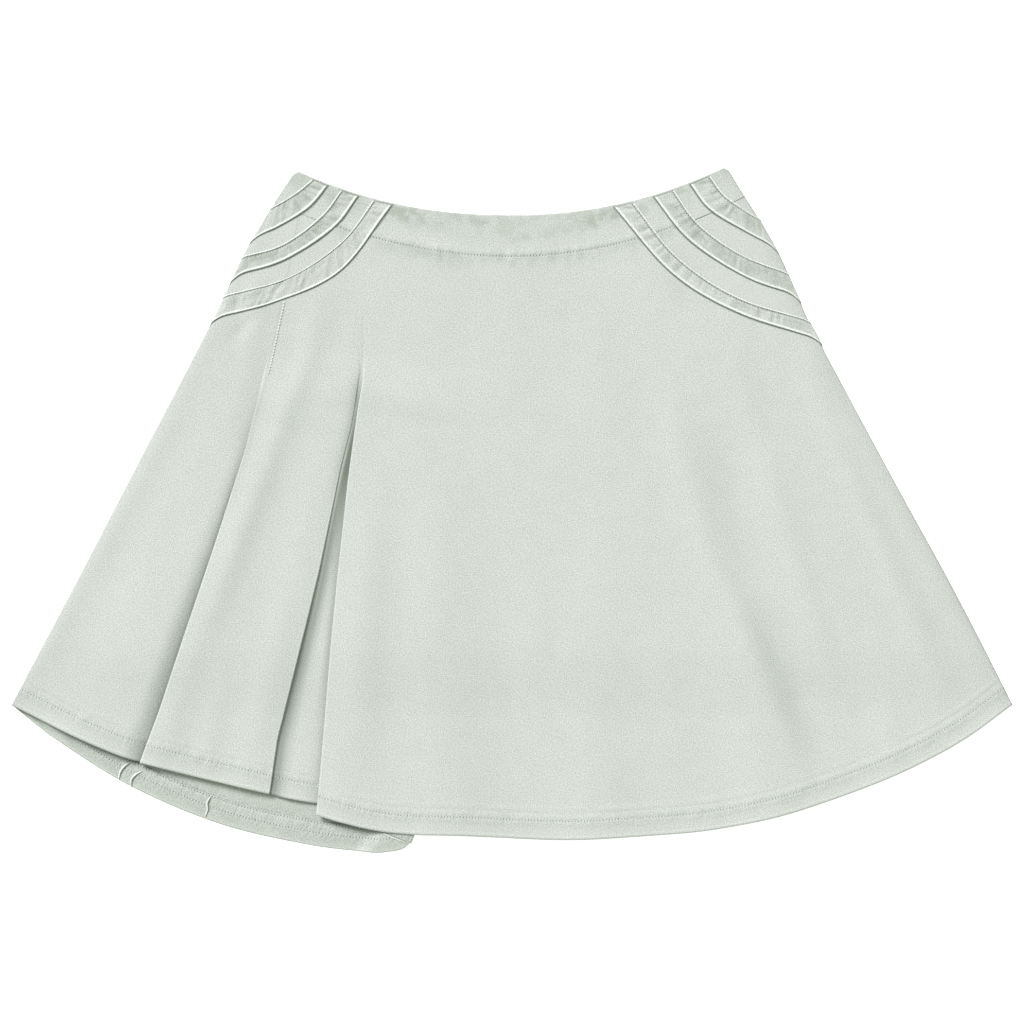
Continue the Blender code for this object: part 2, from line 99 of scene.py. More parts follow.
# Outline of the skirt, laid flat
WAIST_DIP_Y = 223.0
WAIST_RISE = (34.0, 37.5)
WAIST_POWER = (2.2, 2.1)
WAIST_HALF = (163.5, 163.5)
CORNER_ROUND = 4.0
SEAM_DIP_Y = 190.5
SEAM_RISE = (0.0013, 0.0015)
SEAM_HALF = 178.5
BACK_INSET = 0.5
LEFT_SIDE = (
    # x      y
    (-164.5, 255.0),
    (-198.5, 200.5),
    (-224.0, 147.5),
    (-251.0, 95.0),
    (-292.5, 15.5),
    (-334.0, -64.0),
    (-378.2, -147.5),
)
RIGHT_SIDE = (
    # x      y
    (165.0, 255.5),
    (198.0, 200.5),
    (222.5, 147.5),
    (250.0, 95.0),
    (292.5, 15.5),
    (335.5, -64.0),
    (378.2, -147.0),
)

# The three pleats of the front: x of the edge at each of the shares, how far the hidden inner fold
# lies from it at the hem, whether the upper layer is on the right, the shares where it starts and lies
# folded, and how far its bends open towards the hem, from 0 to 1
PLEAT_STARTS = 0.15
PLEAT_OPENS = 0.24
PLEAT_OPENED = 0.8
FOLD_RADIUS = 0.9
PRESSED_RADIUS = 0.33
LEAST_STRAIGHT = 0.5
EDGE_SHARES = (0.0, PLEAT_STARTS, PLEAT_OPENS, 0.34, 0.42, 0.6, 0.7, 0.9, 1.0)
PLEATS = {
    # edges, then under, rises, starts, folds, opens
    "knife": (
        (-162.0, -174.5, -182.5, -192.2, -200.5, -224.2, -238.0, -265.6, -280.5),
        45.0, True, 0.25, 0.36, 1.0,
    ),
    "inverted_left": (
        (-116.0, -115.8, -114.3, -121.6, -130.0, -145.8, -156.0, -177.2, -183.5),
        19.0, False, 0.19, 0.31, 0.4,
    ),
    "inverted_right": (
        (-110.3, -110.4, -112.5, -118.8, -123.4, -131.8, -136.0, -143.4, -147.2),
        30.0, True, 0.19, 0.29, 1.0,
    ),
}
SIDE_HEM = ((-378.2, -147.5), (-330.0, -171.0), (-281.0, -190.3), (-236.0, -199.0))
PLEAT_HEM = ((-280.5, -190.7), (-234.0, -202.6), (-183.3, -214.4))
INNER_HEM = ((-203.0, -208.0), (-184.0, -214.8), (-147.0, -221.9), (-117.0, -226.0))
MAIN_HEM = (
    (-147.2, -230.2), (-129.0, -235.6), (-103.0, -241.8), (-78.0, -244.7), (-39.0, -245.8),
    (34.0, -249.3), (97.0, -246.6), (153.0, -241.6), (210.0, -229.3), (266.0, -210.3),
    (311.0, -190.5), (345.0, -171.5), (378.2, -147.0),
)
BACK_HEM = (
    (-378.2, -147.5), (-345.0, -173.5), (-288.0, -209.0), (-220.5, -237.5), (-152.5, -253.3),
    (-107.0, -258.5), (-94.0, -258.0), (-84.0, -256.4), (-78.5, -252.8), (-75.0, -247.5),
)
BACK_RIGHT_HEM = (
    (-98.0, -254.0), (-84.0, -249.5), (-70.0, -243.0), (-39.0, -242.5), (34.0, -245.5), (97.0, -242.8),
    (153.0, -237.8), (210.0, -225.8), (266.0, -207.0), (311.0, -187.6), (345.0, -169.0),
    (378.2, -147.0),
)
UNDER_LAP = 3.0
PLATEAU_START = 14.0
PLATEAU_END = -62.0
PLATEAU_SLOPE = 70.0

# Soft folds of the front: a crest from one place to another that grows along its length
FRONT_FOLDS = (
    # from_x  from_y   to_x    to_y   half_width  height
    (-60.0, 120.0, -45.0, -246.0, 30.0, 1.2),
    (70.0, 110.0, 62.0, -248.0, 34.0, 1.6),
    (128.0, 90.0, 200.0, -232.0, 26.0, 2.4),
    (190.0, 80.0, 300.0, -196.0, 24.0, 1.5),
    (-240.0, 90.0, -330.0, -172.0, 22.0, 1.2),
)
# Creases of the front, fading out at both ends. A trough has a height below 0
FRONT_CREASES = (
    # from_x  from_y   to_x    to_y   half_width  height
    (116.0, 96.0, 150.0, -54.0, 12.0, 1.4),
    (160.0, 60.0, 190.0, -60.0, 12.0, -0.7),
    (144.0, -20.0, 220.0, -196.0, 11.0, 2.6),
    (178.0, -60.0, 240.0, -180.0, 10.0, -0.6),
    (170.0, 104.0, 248.0, -146.0, 9.0, 0.8),
    (222.0, 104.0, 330.0, -146.0, 9.0, 1.8),
    (-240.0, 104.0, -342.0, -86.0, 9.0, 0.5),
    (-135.0, 170.0, -234.0, -100.0, 10.0, 1.4),
    (-197.0, 180.0, -192.0, 128.0, 8.0, 1.3),
    (-100.0, 214.0, -34.0, 184.0, 7.0, 0.7),
    (-106.0, 20.0, -114.0, -190.0, 15.0, 1.0),
    (38.0, -150.0, 88.0, -214.0, 12.0, 0.8),
    (-12.0, 140.0, -16.0, -20.0, 18.0, 0.5),
    (60.0, 160.0, 78.0, 0.0, 16.0, 0.45),
    (-52.0, 40.0, -58.0, -110.0, 15.0, 0.5),
    (14.0, -20.0, 20.0, -180.0, 14.0, 0.5),
    (104.0, -60.0, 130.0, -210.0, 13.0, 0.6),
    (-262.0, -150.0, -248.0, -196.0, 7.0, 0.5),
    (-216.0, -120.0, -232.0, -196.0, 9.0, 0.6),
    (278.0, -150.0, 292.0, -196.0, 8.0, 0.8),
    (-214.0, 128.0, -190.0, 148.0, 5.0, -0.5),
)
# Painted shade in streaks along the creases, laid out in the same way
PAINTED_CREASE_SHADE = (
    # from_x  from_y   to_x    to_y   half_width  strength
    (146.0, 60.0, 168.0, -50.0, 13.0, 0.075),
    (178.0, -60.0, 226.0, -186.0, 13.0, 0.085),
    (204.0, 40.0, 252.0, -140.0, 10.0, 0.04),
    (258.0, 40.0, 344.0, -146.0, 10.0, 0.06),
    (-232.0, 110.0, -322.0, -80.0, 11.0, 0.055),
    (-130.0, 160.0, -222.0, -80.0, 10.0, 0.035),
    (-182.0, 172.0, -176.0, 140.0, 8.0, 0.07),
    (-134.0, 178.0, -154.0, 122.0, 6.0, 0.05),
    (-204.0, 148.0, -218.0, 122.0, 6.0, 0.06),
    (-92.0, 214.0, -30.0, 180.0, 6.0, 0.06),
    (-96.0, 10.0, -104.0, -190.0, 12.0, 0.03),
    (120.0, 200.0, 128.0, 150.0, 14.0, 0.05),
    (-326.0, -70.0, -338.0, -170.0, 20.0, 0.07),
    (178.0, 132.0, 188.0, 60.0, 9.0, 0.035),
    (232.0, 118.0, 242.0, 70.0, 8.0, 0.045),
    (-113.0, 150.0, -113.4, 98.0, 0.9, 0.09),
    (-168.0, 150.0, -176.0, 70.0, 8.0, 0.03),
)
# Swells beside the pleats at the hem: how far from the pleat's edge the crest lies, how far from it the
# cloth is level again, and its height
KNIFE_SWELL = (14.0, 80.0, 4.2)
PLEAT_SWELLS = ((8.0, 12.0, 0.9), (15.0, 15.0, 1.5))
MAIN_SWELL = (16.0, 18.0, 1.0)
ROLL_WIDTH = 9.0  # over which the second fold rolls down softly beside the third one near its top
ROLL_DEPTH = 0.8
HEM_OPENING = 60.0  # the length above the hem over which it lifts off the back
HEM_LIFTS = (
    # x      half_width height
    (-330.0, 46.0, 1.4),
    (-165.0, 12.0, 1.6),
    (-120.0, 26.0, 1.2),
)

# Hip bands: the upper and lower edge of each, from the waist past two places to the side, and how far
# the edge curls down as it meets the side
HIP_BANDS = {
    #                     waist_x  high_x  high_y  low_x   low_y  side_y  curl
    "hip_band_left_1": ((-150.5, -160.0, 242.0, -171.0, 234.0, 227.0, 0.0),
                        (-139.0, -153.5, 228.5, -176.0, 214.5, 206.5, 4.0)),
    "hip_band_left_2": ((-129.0, -144.5, 221.5, -172.5, 201.0, 191.5, 1.0),
                        (-116.0, -135.0, 213.0, -172.0, 189.0, 177.5, 5.0)),
    "hip_band_left_3": ((-104.5, -128.0, 203.0, -168.0, 176.0, 162.0, 1.0),
                        (-90.5, -130.0, 180.5, -180.0, 157.0, 145.5, 4.0)),
    "hip_band_right_1": ((149.5, 160.0, 238.5, 173.5, 228.0, 218.5, 0.0),
                         (134.5, 149.5, 227.0, 176.5, 210.5, 199.0, 4.0)),
    "hip_band_right_2": ((122.0, 141.0, 216.0, 172.0, 193.5, 179.0, 1.0),
                         (107.0, 134.0, 204.0, 176.0, 176.5, 162.5, 5.0)),
    "hip_band_right_3": ((91.5, 125.0, 191.0, 170.0, 161.0, 143.5, 2.0),
                         (77.0, 121.0, 179.0, 170.0, 149.5, 129.5, 4.0)),
}
BAND_CURL_REACH = 14.0
BAND_WAIST_SETBACK = 1.4
BAND_SIDE_SETBACK = 0.4
BAND_COLUMNS = 190
BAND_MOTTLES = (0.85, 1.0, 0.25)  # how strongly the first, second and third band of a side are mottled
# Section of a band's cloth: how far in from its upper or lower edge, how high above the cloth under it,
# how strongly it puckers, and how worn, how mottled and how dark it is, the darkness being painted shade in the
# stitch groove and in the crevice under the rolled lower edge
BAND_UPPER_SECTION = (
    # inwards height pucker worn shade dark
    (0.7, 0.30, 0.0, 0.0, 0.3, 0.3),
    (0.15, 0.35, 0.0, 0.1, 0.2, 0.2),
    (0.0, 0.60, 0.0, 0.7, 0.0, 0.0),
    (0.15, 0.92, 0.0, 1.0, 0.0, 0.0),
    (0.5, 1.05, 0.0, 1.0, 0.0, 0.0),
    (0.85, 0.92, 0.1, 0.8, 0.0, 0.0),
    (1.1, 0.60, 0.1, 0.1, 0.3, 0.5),
    (1.4, 0.36, 0.1, 0.0, 0.6, 0.85),
    (1.9, 0.36, 0.3, 0.0, 0.9, 0.7),
    (2.35, 0.50, 0.6, 0.0, 1.0, 0.15),
    (3.0, 0.62, 1.0, 0.0, 0.8, 0.0),
)
BAND_MIDDLE_SHARES = (0.34, 0.44, 0.54, 0.64)
BAND_MIDDLE = (0.62, 1.0, 0.0, 0.7, 0.0)
BAND_LOWER_SECTION = (
    # inwards height pucker worn shade dark
    (3.2, 0.56, 0.9, 0.0, 0.6, 0.0),
    (2.3, 0.54, 0.6, 0.0, 0.5, 0.0),
    (1.7, 0.60, 0.3, 0.2, 0.2, 0.0),
    (1.4, 0.86, 0.1, 1.0, 0.0, 0.0),
    (1.05, 1.04, 0.0, 1.0, 0.0, 0.0),
    (0.65, 1.08, 0.0, 1.0, 0.0, 0.0),
    (0.3, 0.96, 0.0, 1.0, 0.0, 0.0),
    (0.05, 0.70, 0.0, 0.6, 0.0, 0.2),
    (-0.02, 0.40, 0.0, 0.0, 0.2, 1.0),
    (-0.15, 0.14, 0.0, 0.0, 0.2, 1.0),
    (-0.75, 0.05, 0.0, 0.0, 0.2, 1.0),
    (-1.15, 0.03, 0.0, 0.0, 0.3, 0.35),
    (-1.6, -0.25, 0.0, 0.0, 0.0, 0.0),
)

# Clouds of less faded cloth on the waistband: x, height above the seam, half width, half height, strength
WAIST_CLOUDS = (
    (-84.0, 24.0, 18.0, 6.0, 0.8),
    (74.0, 22.0, 22.0, 5.0, 0.8),
    (60.0, 20.0, 8.0, 4.0, 0.4),
    (8.0, 16.0, 34.0, 4.0, 0.35),
    (-30.0, 26.0, 20.0, 5.0, 0.3),
    (-130.0, 20.0, 10.0, 8.0, 0.4),
    (126.0, 20.0, 10.0, 8.0, 0.4),
)

# The fold in the back panel that makes the tail under the front's hem
TAIL_STARTS = 0.68
TAIL_FOLDS = 0.78
TAIL_RADIUS = 0.9
TAIL_SHARES = (0.0, TAIL_STARTS, TAIL_FOLDS, 0.957, 0.982, 1.0)
TAIL_EDGE = (0.0, -50.0, -57.5, -68.0, -71.0, -77.0)
TAIL_UNDER = 20.0
TAIL_RAMP = 15.0
TAIL_CLEAR = 9.0

# Built-in shorts: the corners of one leg piece, which the other side mirrors
SHORTS_TOP_HALF = 164.0
SHORTS_HIP = (228.0, 60.0)
SHORTS_OUTER_LEG = (236.0, -72.0)
SHORTS_INNER_LEG = (22.0, -96.0)
SHORTS_CROTCH = (SEAM_GAP / 2, -36.0)

# Stitch rows
HEM_STITCH = 13.6  # above the front's edge
TURNING_STITCH = (10.4, 17.8)  # above the back's edge, where its wrong side shows
SEAM_STITCH = 1.0  # above the waist seam
BAND_STITCH = 1.7  # inwards from a band's upper edge
PLEAT_STITCH = (0.148, 0.285)  # the shares between which the first pleat's stitches show
PLEAT_THREAD = 3.4  # thickness of its stitches over that of the plain thread
BAND_THREAD = 0.65
FAR = 99.0  # the distance stored where no row of stitches is near

# Pinches of cloth in the back's turning, each from its upper to its lower end
HEM_PINCHES = (
    ((-288.5, -190.5), (-292.5, -193.0), (-295.8, -197.5), (-297.3, -203.5)),
    ((-279.5, -197.0), (-284.0, -199.5), (-287.5, -203.5), (-287.8, -209.5)),
    ((-227.5, -216.0), (-230.3, -221.0), (-230.0, -226.0), (-232.0, -232.0)),
    ((-98.0, -243.0), (-88.0, -247.3), (-77.5, -251.3)),
)
PINCH_RADIUS = 1.7
PINCH_UP = (0.0, 0.0, 0.6)  # a pinch is this much lower than it is wide

# Grain and mottle of the twill, in metres, and the slant of its ribs
TWILL_SLANT = 48.0
GRAIN_SIZE = 0.0009
SPECK_SIZE = 0.0008
MOTTLE_SIZE = 0.0019
PATCH_SIZE = 0.011
WASH_SIZE = 0.075
GRAIN_RELIEF = 0.00009
SEWN_RELIEF = 0.0006

# The stage: the surface, the light and the camera
FLOOR_REACH = 8000.0
FLOOR_Z = -0.1
WORLD_COLOUR = (0.94, 1.0, 0.9, 1.0)
WORLD_STRENGTH = 0.64
SUN_STRENGTH = 3.9
SUN_COLOUR = (1.04, 1.0, 1.07)
SUN_ANGLE = 24.0
SUN_TOWARDS = (0.46, -0.62, -0.635)
LENS = 85.0
SENSOR = 36.0
CAMERA_PLACE = (0.0, -0.0012, 1.829)

# Rows and columns of the grids
BESIDE_BEND = np.array([0.0, 0.5, 1.2, 2.2, 3.8])
BESIDE_SIDE = np.array([0.0, 0.1, 0.25, 0.45, 0.7, 1.0, 1.4]) * SIDE_ROUND
ARC_POINTS = 6
FLAT_POINTS = 4
SIDE_COLUMNS = 34
PLEAT_COLUMNS = 34
INNER_COLUMNS = 16
MAIN_COLUMNS = 150
WAIST_COLUMNS = 170
BACK_COLUMNS = (90, 76)  # left of the ramp and right of the tail
RAMP_COLUMNS = 10
TURN_POINTS = 5  # round the edge of a turned sheet
SHORTS_POINTS = 40
PINCH_RINGS = 24
PINCH_SIDES = 8
STITCH_SIDES = 6
BEND_COLUMNS = 2 * ARC_POINTS + FLAT_POINTS - 2
SIDE_END = len(BESIDE_SIDE) + SIDE_COLUMNS + len(BESIDE_BEND)  # where the columns of the first bend start
KNIFE_COLUMN = SIDE_END + BEND_COLUMNS
PLEAT_END = KNIFE_COLUMN + PLEAT_COLUMNS + 2 * len(BESIDE_BEND)
INNER_END = PLEAT_END + BEND_COLUMNS + INNER_COLUMNS


class SkortCloth(bpy.types.PropertyGroup):
    """Sizes of the cloth and its sewing."""

    layer: bpy.props.FloatProperty(
        name="Cloth layer", description="Thickness of one layer of twill", default=0.00055, unit="LENGTH"
    )
    pitch: bpy.props.FloatProperty(
        name="Stitch pitch", description="From one stitch to the next", default=0.00235, unit="LENGTH"
    )
    thread: bpy.props.FloatProperty(
        name="Thread", description="Thickness of the sewing thread", default=0.00038, unit="LENGTH"
    )
    pucker: bpy.props.FloatProperty(
        name="Pucker", description="Height of the puckers beside stitches", default=0.00028, unit="LENGTH"
    )


class SkortColours(bpy.types.PropertyGroup):
    """Colours of the cloth, the thread and the stage."""

    face: bpy.props.FloatVectorProperty(
        name="Right side", description="Washed face of the twill", default=(0.48, 0.507, 0.472), subtype="COLOR"
    )
    inside: bpy.props.FloatVectorProperty(
        name="Wrong side", description="Inside of the twill", default=(0.445, 0.478, 0.433), subtype="COLOR"
    )
    # Wear and painted light: the pale colour of rubbed ridges and hem folds, which also lightens the shaded
    # bend of the second pleat and the lit side of the back's pinches
    worn: bpy.props.FloatVectorProperty(
        name="Worn ridge", description="Rubbed cloth on ridges", default=(0.66, 0.685, 0.65), subtype="COLOR"
    )
    deep: bpy.props.FloatVectorProperty(
        name="Mottled cloth", description="Less faded cloth", default=(0.325, 0.36, 0.31), subtype="COLOR"
    )
    # Painted shade: the near-black green that a mark mixes in beside the pleats, under hems and ridges, along
    # edges and in streaks along creases; on the hip bands the same mark also carries mottle
    dark: bpy.props.FloatVectorProperty(
        name="Crevice", description="Cloth that never faded", default=(0.11, 0.135, 0.10), subtype="COLOR"
    )
    thread: bpy.props.FloatVectorProperty(
        name="Thread", description="Sewing thread", default=(0.62, 0.645, 0.61), subtype="COLOR"
    )
    floor: bpy.props.FloatVectorProperty(
        name="Floor", description="Surface under the garment", default=(0.94, 0.94, 0.94), subtype="COLOR"
    )


# ---------------------------------------------------------------- shapes


def smooth_step(value, start, end):
    """0 before start, 1 after end, and between them 3tt - 2ttt of the part t of the way."""
    t = np.clip((np.asarray(value, float) - start) / (end - start), 0.0, 1.0)
    return t * t * (3.0 - 2.0 * t)


def fade(value, start, end):
    """1 before start and 0 after end: one less the smooth step."""
    return 1.0 - smooth_step(value, start, end)


def bell(distance, half_width):
    """e to the minus square of the distance over the half width: 1 in the middle, near 0 outside."""
    return np.exp(-((distance / half_width) ** 2))


def soft_noise(x, y, size, seed):
    """Random waves between -1 and 1, about size wide: a lattice of random values joined by smooth steps."""
    lattice = np.random.default_rng(seed).uniform(-1.0, 1.0, (128, 128))
    u, v = np.broadcast_arrays(np.asarray(x, float) / size + 41.3, np.asarray(y, float) / size + 57.7)
    i, j = np.floor(u).astype(int), np.floor(v).astype(int)
    a, b = smooth_step(u - i, 0.0, 1.0), smooth_step(v - j, 0.0, 1.0)
    low = lattice[i % 128, j % 128] * (1 - a) + lattice[(i + 1) % 128, j % 128] * a
    high = lattice[i % 128, (j + 1) % 128] * (1 - a) + lattice[(i + 1) % 128, (j + 1) % 128] * a
    return low * (1 - b) + high * b


def curve_through(points, count):
    """A smooth curve through the points: cubic pieces with Catmull-Rom slopes, count points long."""
    points = np.array(points, float)
    padded = np.vstack([2 * points[0] - points[1], points, 2 * points[-1] - points[-2]])
    at = np.linspace(0.0, len(points) - 1.0, count)
    piece = np.minimum(at.astype(int), len(points) - 2)
    t = (at - piece)[:, None]
    before, start, end, after = (padded[piece + shift] for shift in range(4))
    return 0.5 * (
        2 * start
        + (end - before) * t
        + (2 * before - 5 * start + 4 * end - after) * t**2
        + (3 * start - before - 3 * end + after) * t**3
    )


def waist_y(x):
    """The waist edge: its middle height plus a rise times a power of x over half its width."""
    x = np.asarray(x, float)
    rise, half, power = (np.where(x < 0, *pair) for pair in (WAIST_RISE, WAIST_HALF, WAIST_POWER))
    return WAIST_DIP_Y + rise * (np.abs(x) / half) ** power


def seam_y(x):
    """The waist seam: a parabola about 32 mm under the waist edge."""
    x = np.asarray(x, float)
    return SEAM_DIP_Y + np.where(x < 0, *SEAM_RISE) * x**2


def side_x(side, y):
    """The x of a side edge at the height y, read from the smooth curve through its points."""
    edge = curve_through(LEFT_SIDE if side < 0 else RIGHT_SIDE, 80)
    slope = (edge[0] - edge[1]) / (edge[0, 1] - edge[1, 1])
    above = np.maximum(np.asarray(y, float) - edge[0, 1], 0.0) * slope[0]
    return np.interp(-np.asarray(y, float), -edge[:, 1], edge[:, 0]) + above


def side_distance(x, y):
    """How far a point lies inside the nearer side edge, measured square to it."""
    nearest = np.minimum(x - side_x(-1, y), side_x(1, y) - x) / SIDE_SLANT
    return np.maximum(nearest, 0.0)


def fold_height(x, y):
    """The soft folds of the front: a bell across each crest times a smooth climb along it."""
    total = np.zeros(np.shape(x))
    for from_x, from_y, to_x, to_y, half_width, height in FRONT_FOLDS:
        along = np.clip((from_y - y) / (from_y - to_y), 0.0, 1.2)
        crest = from_x + (to_x - from_x) * along
        total = total + height * smooth_step(along, 0.0, 1.0) * bell(x - crest, half_width)
    return total


def crease_height(x, y, creases):
    """The listed creases: a bell square to each line, fading out a little beyond both its ends."""
    total = np.zeros(np.shape(x))
    for from_x, from_y, to_x, to_y, half_width, height in creases:
        length = math.hypot(to_x - from_x, to_y - from_y)
        along_x, along_y = (to_x - from_x) / length, (to_y - from_y) / length
        along = ((x - from_x) * along_x + (y - from_y) * along_y) / length
        across = (x - from_x) * along_y - (y - from_y) * along_x
        ends = smooth_step(along, -0.15, 0.35) * fade(along, 0.65, 1.15)
        total = total + height * ends * bell(across, half_width)
    return total


def wash_height(x, y):
    """The slight unevenness that washing leaves: three sizes of random waves, longer down the cloth."""
    wide = 0.26 * soft_noise(x, y * 0.5, 42.0, 3)
    middle = 0.10 * soft_noise(x, y * 0.7, 17.0, 5)
    small = 0.03 * soft_noise(x, y, 7.0, 8)
    return wide + middle + small


def front_height(x, y):
    """Height of the middle of the front: level over the shorts, lower at the hem and round the sides."""
    x, y = np.asarray(x, float), np.asarray(y, float)
    sunk = smooth_step(-y, -SHORTS_END_Y, -SHORTS_END_Y + SINK_LENGTH)
    level = FRONT_Z + (FRONT_HEM_Z - FRONT_Z) * sunk
    above_seam = np.clip((y - seam_y(x)) / (waist_y(x) - seam_y(x)), 0.0, 1.0)
    level = level + (FRONT_WAIST_Z - FRONT_Z) * above_seam
    level = level + fold_height(x, y)
    relief = crease_height(x, y, FRONT_CREASES) + wash_height(x, y)
    level = level + relief * smooth_step(side_distance(x, y), 0.0, 1.3 * SIDE_ROUND)
    level = np.maximum(level, FRONT_HEM_Z)
    reach = np.clip(side_distance(x, y) / SIDE_ROUND, 0.0, 1.0)
    edge_sunk = smooth_step(-y, -SIDE_SINKS[0], -SIDE_SINKS[1])
    edge = SIDE_EDGE_Z + (FRONT_HEM_Z - SIDE_EDGE_Z) * edge_sunk
    edge = np.minimum(edge, level)
    return edge + (level - edge) * np.sqrt(1.0 - (1.0 - reach) ** 2)


def unit(vectors):
    """The vectors over their lengths, so that each is one long."""
    return vectors / np.maximum(np.linalg.norm(vectors, axis=-1, keepdims=True), 1e-9)


def normals_of(grid, outward=1.0):
    """Unit normals of a grid: the cross product of its steps down and its steps across."""
    across, down = np.gradient(grid, axis=1), np.gradient(grid, axis=0)
    return unit(outward * np.cross(down, across))


def run_along(grid, axis):
    """Distance run along each line of a grid, from its first point."""
    steps = np.linalg.norm(np.diff(grid, axis=axis), axis=-1)
    first = np.zeros_like(np.take(steps, [0], axis=axis))
    return np.concatenate([first, np.cumsum(steps, axis=axis)], axis=axis)


def panel_rows(top_left, top_right, hem, shares, count=90):
    """Rows of a panel: every point lies on a straight line from the waist seam down to the hem."""
    hem_curve = curve_through(hem, count)
    top_x = np.linspace(top_left, top_right, count)
    top = np.column_stack([top_x, seam_y(top_x) - SEAM_GAP / 2])
    return top + (hem_curve - top) * shares[:, None, None]


def on_rows(rows, x):
    """The y of each row at the x values of that row."""
    return np.stack([np.interp(at, row[:, 0], row[:, 1]) for row, at in zip(rows, x)])


def spaced(start, end, count, near_start, near_end):
    """Columns from start to end in every row: fine steps beside each, and count even ones between."""
    first = start[:, None] + near_start
    last = end[:, None] - near_end[::-1]
    even = np.linspace(0.0, 1.0, count + 2)[1:-1]
    middle = first[:, -1:] + (last[:, :1] - first[:, -1:]) * even
    return np.concatenate([first, middle, last], axis=1)


def fold_sections(shares, starts, folds, under, radius):
    """Sections of a pleat: two bends with a straight between them.

    Their angle grows ever faster from nothing to half a turn. A bend's radius is pi times the least
    radius over its angle, so that each uses the same length.
    """
    folded = np.clip((shares - starts) / (folds - starts), 0.0, 1.0)
    angle = np.maximum(math.pi * folded**1.5, 1e-3)[:, None]
    grown = np.maximum(0.0, (shares - folds) / (1.0 - folds))
    straight = LEAST_STRAIGHT + (under - LEAST_STRAIGHT) * grown[:, None]
    bend = np.reshape(radius, (-1, 1)) * math.pi / angle
    turn = angle * np.linspace(0.0, 1.0, ARC_POINTS)
    back = turn[:, ::-1]
    run = straight * np.linspace(0.0, 1.0, FLAT_POINTS + 2)[1:-1]
    first_x, first_z = bend * np.sin(turn), bend * (1 - np.cos(turn))
    end_x, end_z = first_x[:, -1:], first_z[:, -1:]
    flat_x, flat_z = end_x + run * np.cos(angle), end_z + run * np.sin(angle)
    top_x, top_z = end_x + straight * np.cos(angle), end_z + straight * np.sin(angle)
    second_x = top_x + bend * (np.sin(angle) - np.sin(back))
    second_z = top_z + bend * (np.cos(back) - np.cos(angle))
    x = np.concatenate([first_x, flat_x, second_x], axis=1)
    z = np.concatenate([first_z, flat_z, second_z], axis=1)
    return x - (end_x + top_x) / 2, z, straight[:, 0]


def joined(before, section_x, section_z, after):
    """The bend between two stretches: y runs evenly along it, and z follows its section.

    The section is pressed flatter where the stretches are nearer each other than its ends.
    """
    step = np.hypot(np.diff(section_x, axis=1), np.diff(section_z, axis=1))
    run = np.concatenate([np.zeros((len(step), 1)), np.cumsum(step, axis=1)], axis=1)
    part = run / run[:, -1:]
    y = before[:, -1:, 1] + (after[:, :1, 1] - before[:, -1:, 1]) * part
    height, wanted = section_z[:, -1:] - section_z[:, :1], after[:, :1, 2] - before[:, -1:, 2]
    share = np.clip(wanted / np.where(np.abs(height) < 0.3, 1.0, height), 0.25, 1.0)
    share = np.where(np.abs(height) < 0.3, 1.0, share)
    z = before[:, -1:, 2] + (wanted - share * height) * part + share * (section_z - section_z[:, :1])
    return np.stack([section_x, y, z], axis=-1)[:, 1:-1]


